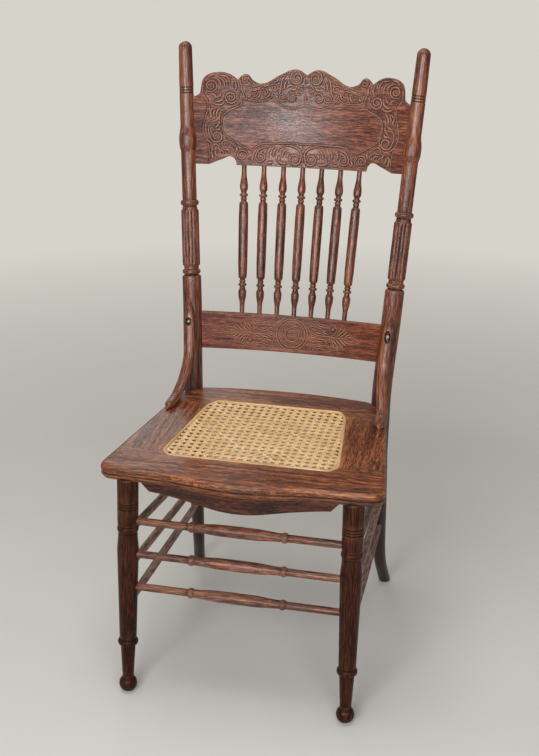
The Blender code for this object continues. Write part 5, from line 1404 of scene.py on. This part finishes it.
def leg_turning(length):
    start = math.acos(BALL_HEIGHT / BALL_RADIUS)
    end = math.pi - math.asin(ANKLE_RADIUS / BALL_RADIUS)
    t = Turning(0.0, BALL_RADIUS * math.sin(start))
    t.sweep(18, lambda s: BALL_HEIGHT - BALL_RADIUS * math.cos(start + (end - start) * s),
            lambda s: BALL_RADIUS * math.sin(start + (end - start) * s))
    t.run(t.at[-1] + 0.0012, 0.0097, 1).bead(0.0026, 0.0010, 5).run(0.0345, 0.0105, 1)
    t.run(0.0950, 0.0136, 8).bead(0.0125, 0.0050, 12).run(0.1085, 0.0155, 1)
    t.run(0.200, 0.0175, 8).run(length - 0.150, 0.0191, 7).run(length - 0.134, 0.0193, 4)
    t.run(length - 0.106, 0.0174, 8, True).run(length - 0.1005, 0.0172, 2).run(length - 0.0990, 0.0179, 1)
    t.bead(0.0085, 0.0013, 8).bead(0.0022, -0.0010, 6).run(length - 0.080, 0.0187, 4)
    t.lines(length - 0.0552, 0.0052, 3, 0.0009, 0.0023).run(length - 0.012, 0.0190, 4)
    return t.run(length - 0.004, 0.0190, 2).shoulder(0.0030, 0.0179, 5, True).run(length + 0.0006, 0.0175, 1)


def make_legs():
    for name, sign in SIDES:
        foot = mirror_x(LEG_FOOT, sign)
        top = mirror_x(LEG_TOP, sign)
        turning = leg_turning(float(np.linalg.norm(top - foot)))
        leg = turned_piece(f"leg_front_{name}", turning, foot, top, LEG_SIDES, LEG_OAK,
                           f"front_leg_{name}")
        for vertex in leg.data.vertices:
            vertex.co.z = max(vertex.co.z, 0.0)


def front_stretcher_turning(reach):
    t = Turning(0.0, 0.0106)
    t.run(0.030, 0.0103, 6, True).run(0.076, 0.0078, 10, True).run(0.0788, 0.0074, 1).bead(0.0092, 0.0022, 10)
    t.run(0.0892, 0.0069, 1).run(0.120, 0.0068, 5).run(reach - 0.030, 0.0070, 6).run(reach - 0.018, 0.0067, 3)
    t.run(reach, 0.0062, 3)
    t.at = [-at for at in t.at[:0:-1]] + t.at
    t.radius = t.radius[:0:-1] + t.radius
    return t


def rod_turning(length, radius=PLAIN_STRETCHER_RADIUS):
    """A plain stretcher, a little thicker in the middle, that runs on into what holds it."""
    t = Turning(0.006, radius * 0.86)
    t.run(0.028, radius * 0.96, 4).run(length * 0.25, radius * 1.02, 7).run(length * 0.5, radius * 1.04, 9)
    t.run(length * 0.75, radius * 1.02, 9).run(length - 0.028, radius * 0.96, 7)
    return t.run(length - 0.006, radius * 0.86, 4)


def make_stretchers():
    for number, level in enumerate(("upper", "middle", "lower")):
        height = FRONT_STRETCHER_TOP - number * FRONT_STRETCHER_STEP
        end = leg_axis(height)
        middle = end * (0.0, 1.0, 1.0)
        turning = front_stretcher_turning(end[0] - FRONT_STRETCHER_SHORT)
        turned_piece(f"stretcher_front_{level}", turning, middle, end, FRONT_STRETCHER_SIDES, STRETCHER_OAK,
                     f"front_stretcher_{level}")
        start = leg_axis(SIDE_STRETCHER_FRONT[0] - number * SIDE_STRETCHER_FRONT[1])
        stop = post_axis(SIDE_STRETCHER_REAR[0] - number * SIDE_STRETCHER_REAR[1])[0]
        turning = rod_turning(float(np.linalg.norm(stop - start)))
        for name, sign in SIDES:
            turned_piece(f"stretcher_side_{name}_{level}", turning, mirror_x(start, sign),
                         mirror_x(stop, sign), ROD_SIDES, WORN_OAK,
                         f"side_stretcher_{name}_{level}")
    end = post_axis(REAR_STRETCHER_HEIGHT)[0]
    turned_piece("stretcher_rear", rod_turning(2 * end[0]), mirror_x(end, -1), end, ROD_SIDES, STRETCHER_OAK,
                 "rear_stretcher")


# Apron and its blocks

APRON_EASE = 0.0022
APRON_COLUMNS = 150
APRON_CURVE_STEPS = 12
BLOCK_EASE = 0.0014


def make_apron():
    share = np.linspace(-1.0, 1.0, APRON_COLUMNS)
    end_x = APRON_TOP_HALF - APRON_END_SLANT
    right = [(end_x * 0.62, -APRON_END_DEPTH - 0.006, False), (end_x, -APRON_END_DEPTH, True),
             (end_x, 0.05, True)]
    left = [(-x, up, corner) for x, up, corner in reversed(right)]
    outline = curve_outline([(0.0, -APRON_BELLY_DEPTH, False), *right, *left], APRON_CURVE_STEPS)
    belly = -column_span(outline, np.clip(share, -0.9995, 0.9995) * end_x)[0]
    # Down the front: how far in, at what share of the depth, and how much above it
    profile = [(0.0, part, 0.0) for part in (0.0, 0.25, 0.5, 0.72)]
    profile += [(0.0, 1.0, APRON_EASE), (APRON_EASE * 0.3, 1.0, APRON_EASE * 0.3), (APRON_EASE, 1.0, 0.0)]
    into = np.array([place for place, _, _ in profile])
    drops = np.stack([belly * part - lift for _, part, lift in profile], axis=1)
    into = np.concatenate((into, APRON_THICKNESS - into[::-1]))
    drops = np.concatenate((drops, drops[:, ::-1]), axis=1)
    x = share[:, None] * (APRON_TOP_HALF - APRON_END_SLANT * np.minimum(drops / APRON_END_DEPTH, 1.0))
    top = SEAT_UNDERSIDE - JOINT_GAP
    points = np.stack((x, seat_front(x) + APRON_SET_BACK + into, top - drops), axis=-1)
    faces = ring_faces(APRON_COLUMNS, len(into))
    make_piece("apron_front", points, faces, SHADED_APRON_OAK, "front_apron", points[..., (0, 2, 1)],
               sharp=SEAT_SHARP)
    near = seat_front(BLOCK_OUTER_X) + APRON_SET_BACK + APRON_THICKNESS + JOINT_GAP
    for name, sign in SIDES:
        middle = (sign * (BLOCK_OUTER_X - BLOCK_LENGTH / 2), near + BLOCK_SIDE / 2, top - BLOCK_SIDE / 2)
        size = placed(middle, np.eye(3), (BLOCK_LENGTH, BLOCK_SIDE, BLOCK_SIDE))
        work = bmesh.new()
        bmesh.ops.create_cube(work, size=1.0, matrix=size)
        bmesh.ops.bevel(work, geom=work.edges[:], offset=BLOCK_EASE, segments=3, profile=0.5, affect="EDGES")
        mesh = to_mesh(work, f"glue_block_{name}")
        dress(f"glue_block_{name}", mesh, HIDDEN_OAK, f"apron_block_{name}", places_of(mesh))


# Hip brackets and screws

SCREW_SLOT = (0.012, 0.0011, 0.0026)
SCREW_THREADS = 14
SCREW_SIDES = 32
BRACKET_SIDES = 40
UPPER_POCKET_WIDE = 0.0060
UPPER_POCKET_TALL = {"left": 0.0085, "right": 0.0130}
LOWER_POCKET = (0.0054, 0.0054, 0.0030)
LOWER_POCKET_OUT = 0.0028


def bracket_x(height):
    """The bracket follows the middle of the post and flares out to the seat's edge below."""
    share = np.clip((height - SEAT_HEIGHT) / BRACKET_LEAVES_RISE, 0.0, 1.0)
    flare = BRACKET_FOOT_X - post_axis(SEAT_HEIGHT)[0][0]
    return post_axis(height)[..., 0] + flare * (1 - share) ** 2


def bracket_path():
    """The bracket's middle line in its own plane, half thickness and share of the width, from top to tip."""
    half = BRACKET_THICKNESS / 2
    away = POST_LOWER_RADIUS + half - BRACKET_SINK

    def beside(rise, push=0.0):
        at = post_axis(SEAT_HEIGHT + rise)[0]
        return np.array((0.0, at[1] - away - push, SEAT_HEIGHT + rise))

    rises = np.linspace(BRACKET_TOP_RISE, BRACKET_LEAVES_RISE, 34)
    size = 0.14 + 0.86 * np.sin(np.clip((BRACKET_TOP_RISE - rises) / 0.034, 0.0, 1.0) * np.pi / 2)
    path = [(beside(rise, -half * 0.92 * (1 - s)), s * half, s) for rise, s in zip(rises, size)]
    leaves = beside(BRACKET_LEAVES_RISE)
    lands = np.array((0.0, BRACKET_LANDS_Y, SEAT_HEIGHT + half - BRACKET_SINK))
    pull = 1.25 * (leaves[2] - lands[2])
    down = pull * unit(leaves - beside(BRACKET_LEAVES_RISE + 0.020))
    forward = np.array((0.0, -1.0, 0.0))
    for t in np.linspace(0.0, 1.0, 46)[1:]:
        path.append((hermite(t, leaves, down, lands, pull * forward), half, 1.0))
    for share in np.linspace(0.0, 1.0, 26)[1:]:
        s = max(0.30, math.sqrt(max(0.0, 1 - share**4)))
        broad = 1 - 0.90 * max(0.0, (share - 0.55) / 0.45) ** 1.2
        drop = np.array((0.0, 0.0, half * (1 - s) * 0.72))
        path.append((lands + forward * (BRACKET_LANDS_Y - BRACKET_TIP_Y) * share - drop, half * s, broad))
    return [np.array(column) for column in zip(*path)]


def slotted_screw(name, node, seat, inward, roll):
    """A round head screw with a cut slot and a threaded shank."""
    inward = unit(inward)
    bends = np.linspace(0.12, 1.45, 10)
    rings = [(SCREW_HEAD_RADIUS * math.sin(a), SCREW_HEAD_HEIGHT * math.cos(a)) for a in bends]
    rings += [(SCREW_HEAD_RADIUS, 0.0), (SCREW_HEAD_RADIUS * 0.96, -0.0004), (0.0022, -0.0005)]
    rings += [(0.0021 if i % 2 else 0.0015, -0.002 - i * 0.0012) for i in range(SCREW_THREADS)]
    radius, height = np.array(rings + [(0.0004, -0.021)]).T
    across = unit(np.cross(inward, (0.31, 0.42, 0.85)))
    slot_way = across * math.cos(roll) + np.cross(inward, across) * math.sin(roll)
    points, faces, grain = tube(seat - height[:, None] * inward, radius, SCREW_SIDES, slot_way)
    screw = make_piece(name, points, faces, STEEL, node, grain)
    work = bmesh.new()
    axes = (slot_way, np.cross(slot_way, inward), -inward)
    bmesh.ops.create_cube(work, size=1.0, matrix=placed(seat - inward * SCREW_HEAD_HEIGHT, axes, SCREW_SLOT))
    carve(screw, [cutter(work)])


def make_brackets():
    path, half, broad = bracket_path()
    wide = (broad * BRACKET_WIDTH / 2 / half)[:, None]
    lean_in = np.array((0.0, math.cos(SLAT_LEAN), -math.sin(SLAT_LEAN)))
    down = np.array((0.0, 0.0, -1.0))
    level = SEAT_HEIGHT + UPPER_SCREW_RISE
    upper_y = np.interp(level, path[::-1, 2], path[::-1, 1])
    lower_z = path[np.argmin(np.abs(path[:, 1] - LOWER_SCREW_Y)), 2]
    upper_out = BRACKET_THICKNESS / 2 - UPPER_SCREW_SINK
    lower_out = BRACKET_THICKNESS / 2 - LOWER_SCREW_SINK
    for name, sign in SIDES:
        points, faces, grain = tube(path, half, BRACKET_SIDES, broad=wide)
        points[..., 0] += sign * bracket_x(points[..., 2])
        piece = make_piece(f"bracket_{name}", points, faces, POST_OAK, f"hip_bracket_{name}",
                           grain)
        upper = mirror_x((bracket_x(level)[0], upper_y, level), sign) - lean_in * upper_out
        lower = mirror_x((bracket_x(lower_z)[0], LOWER_SCREW_Y, lower_z), sign) - down * lower_out
        sizes = (UPPER_POCKET_WIDE, UPPER_POCKET_TALL[name], upper_out * 1.1)
        carve(piece, [pocket(upper - lean_in * upper_out * 0.6, lean_in, (0, 0, 1), sizes),
                      pocket(lower - down * LOWER_POCKET_OUT, down, (0, 1, 0), LOWER_POCKET)])
        slotted_screw(f"screw_upper_{name}", f"bracket_screw_upper_{name}", upper, lean_in, 0.7 + sign)
        slotted_screw(f"screw_lower_{name}", f"bracket_screw_lower_{name}", lower, down, 0.3 - sign)
        post = post_axis(SEAT_MIDDLE)[0] + SEAT_CORNER_OUT * (POST_LOWER_RADIUS - POST_SCREW_SINK)
        slotted_screw(f"screw_post_{name}", f"seat_post_screw_{name}", mirror_x(post, sign),
                      mirror_x(-SEAT_CORNER_OUT, sign), 0.5 * sign)


# Stage, light and camera

FLOOR_COLOUR = srgb(206, 203, 197)
BACKDROP_COLOUR = srgb(214, 211, 203)
FLOOR_HALF = 30.0
BACKDROP_NEAR = 1.0
BACKDROP_FAR = 2.8
WORLD_COLOUR = (1.0, 0.99, 0.97)
WORLD_STRENGTH = 0.25
CAMERA_PLACE = (0.4603, -1.9747, 1.3722)
CAMERA_YAW = math.radians(12.9)
CAMERA_PITCH = math.radians(22.21)
CAMERA_ROLL = math.radians(0.14)
FOCAL_PIXELS = 1200.0
LONG_SIDE_PIXELS = 756.0
SENSOR = 36.0


def make_stage():
    mesh = bpy.data.meshes.new("floor")
    corners = [(x * FLOOR_HALF, y * FLOOR_HALF, 0) for x, y in ((-1, -1), (1, -1), (1, 1), (-1, 1))]
    mesh.from_pydata(corners, [], [(0, 1, 2, 3)])
    floor = link("floor", mesh)
    n = Nodes("floor_pale")
    place = n.place()
    mottle = n.noise(place, (3.0, 3.0, 3.0), 3.0, 0.5)
    pale = tuple(min(1.0, part * 1.03) for part in FLOOR_COLOUR)
    colour = n.ramp(mottle, (0.3, 0.7), (FLOOR_COLOUR, pale))
    n.shade(Base_Color=colour, Roughness=0.85, Specular_IOR_Level=0.1)
    far = n.add("ShaderNodeVectorMath", {0: place}, operation="LENGTH").outputs["Value"]
    seen = n.add("ShaderNodeLightPath").outputs["Is Camera Ray"]
    share = n.times(seen, n.span(far, BACKDROP_NEAR, BACKDROP_FAR))
    glow = n.add("ShaderNodeEmission", {"Color": (*BACKDROP_COLOUR, 1.0), "Strength": 1.0})
    both = n.add("ShaderNodeMixShader", {0: share, 1: n.shader.outputs[0], 2: glow.outputs[0]})
    n.put(n.tree.nodes["Material Output"].inputs["Surface"], both.outputs[0])
    mesh.materials.append(n.material)


def area_light(name, place, target, size, power, colour):
    light = bpy.data.lights.new(name, "AREA")
    light.shape = "ELLIPSE"
    light.size, light.size_y = size
    light.energy = power
    light.color = colour
    obj = link(name, light)
    obj.location = place
    obj.rotation_euler = (Vector(target) - Vector(place)).to_track_quat("-Z", "Y").to_euler()


def make_light():
    world = bpy.data.worlds.new("studio")
    bpy.context.scene.world = world
    world.use_nodes = True
    tree = world.node_tree
    blend = tree.nodes.new("ShaderNodeMixShader")
    path = tree.nodes.new("ShaderNodeLightPath")
    tree.links.new(path.outputs["Is Camera Ray"], blend.inputs["Fac"])
    lit = tree.nodes["Background"]
    seen = tree.nodes.new("ShaderNodeBackground")
    grounds = ((1, lit, WORLD_COLOUR, WORLD_STRENGTH), (2, seen, BACKDROP_COLOUR, 1.0))
    for number, node, colour, strength in grounds:
        node.inputs["Color"].default_value = (*colour, 1.0)
        node.inputs["Strength"].default_value = strength
        tree.links.new(node.outputs[0], blend.inputs[number])
    tree.links.new(blend.outputs[0], tree.nodes["World Output"].inputs["Surface"])
    area_light("key", (-0.35, -2.75, 1.52), (0.0, 0.0, 0.62), (1.5, 1.2), 54.0, (0.94, 0.97, 1.0))
    area_light("fill", (1.05, -2.2, 1.45), (0.0, 0.0, 0.7), (1.1, 1.1), 16.0, (0.90, 0.95, 1.0))
    area_light("top", (-0.3, -0.2, 3.0), (0.0, 0.0, 0.4), (2.2, 2.2), 34.0, (1.0, 0.97, 0.93))
    area_light("back", (-1.25, 2.7, 1.80), (0.0, 0.0, 0.5), (1.2, 0.9), 7.0, (1.0, 0.98, 0.95))


def make_camera():
    """A camera where the photograph was taken from, worked out from the chair's own lines in it."""
    level = math.cos(CAMERA_PITCH)
    forward = Vector((-math.sin(CAMERA_YAW) * level, math.cos(CAMERA_YAW) * level, -math.sin(CAMERA_PITCH)))
    right = Vector((math.cos(CAMERA_YAW), math.sin(CAMERA_YAW), 0.0))
    up = right.cross(forward)
    across = right * math.cos(CAMERA_ROLL) + up * math.sin(CAMERA_ROLL)
    upright = up * math.cos(CAMERA_ROLL) - right * math.sin(CAMERA_ROLL)
    data = bpy.data.cameras.new("camera")
    data.sensor_width = SENSOR
    data.lens = FOCAL_PIXELS * SENSOR / LONG_SIDE_PIXELS
    camera = link("camera", data)
    camera.matrix_world = placed(CAMERA_PLACE, (across, upright, -forward), (1.0, 1.0, 1.0))
    bpy.context.scene.camera = camera


def dress_hidden_nodes():
    """The dowels stay as the CAD has them, in bare wood."""
    for name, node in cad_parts.items():
        if name.startswith("seat_dowel"):
            node.data.materials.clear()
            node.data.materials.append(HIDDEN_OAK)


make_camera()
make_light()
make_stage()
make_posts()
make_boards()
make_spindles()
make_seat()
make_cane()
make_legs()
make_stretchers()
make_apron()
make_brackets()
dress_hidden_nodes()
bpy.context.scene.view_settings.view_transform = "Standard"
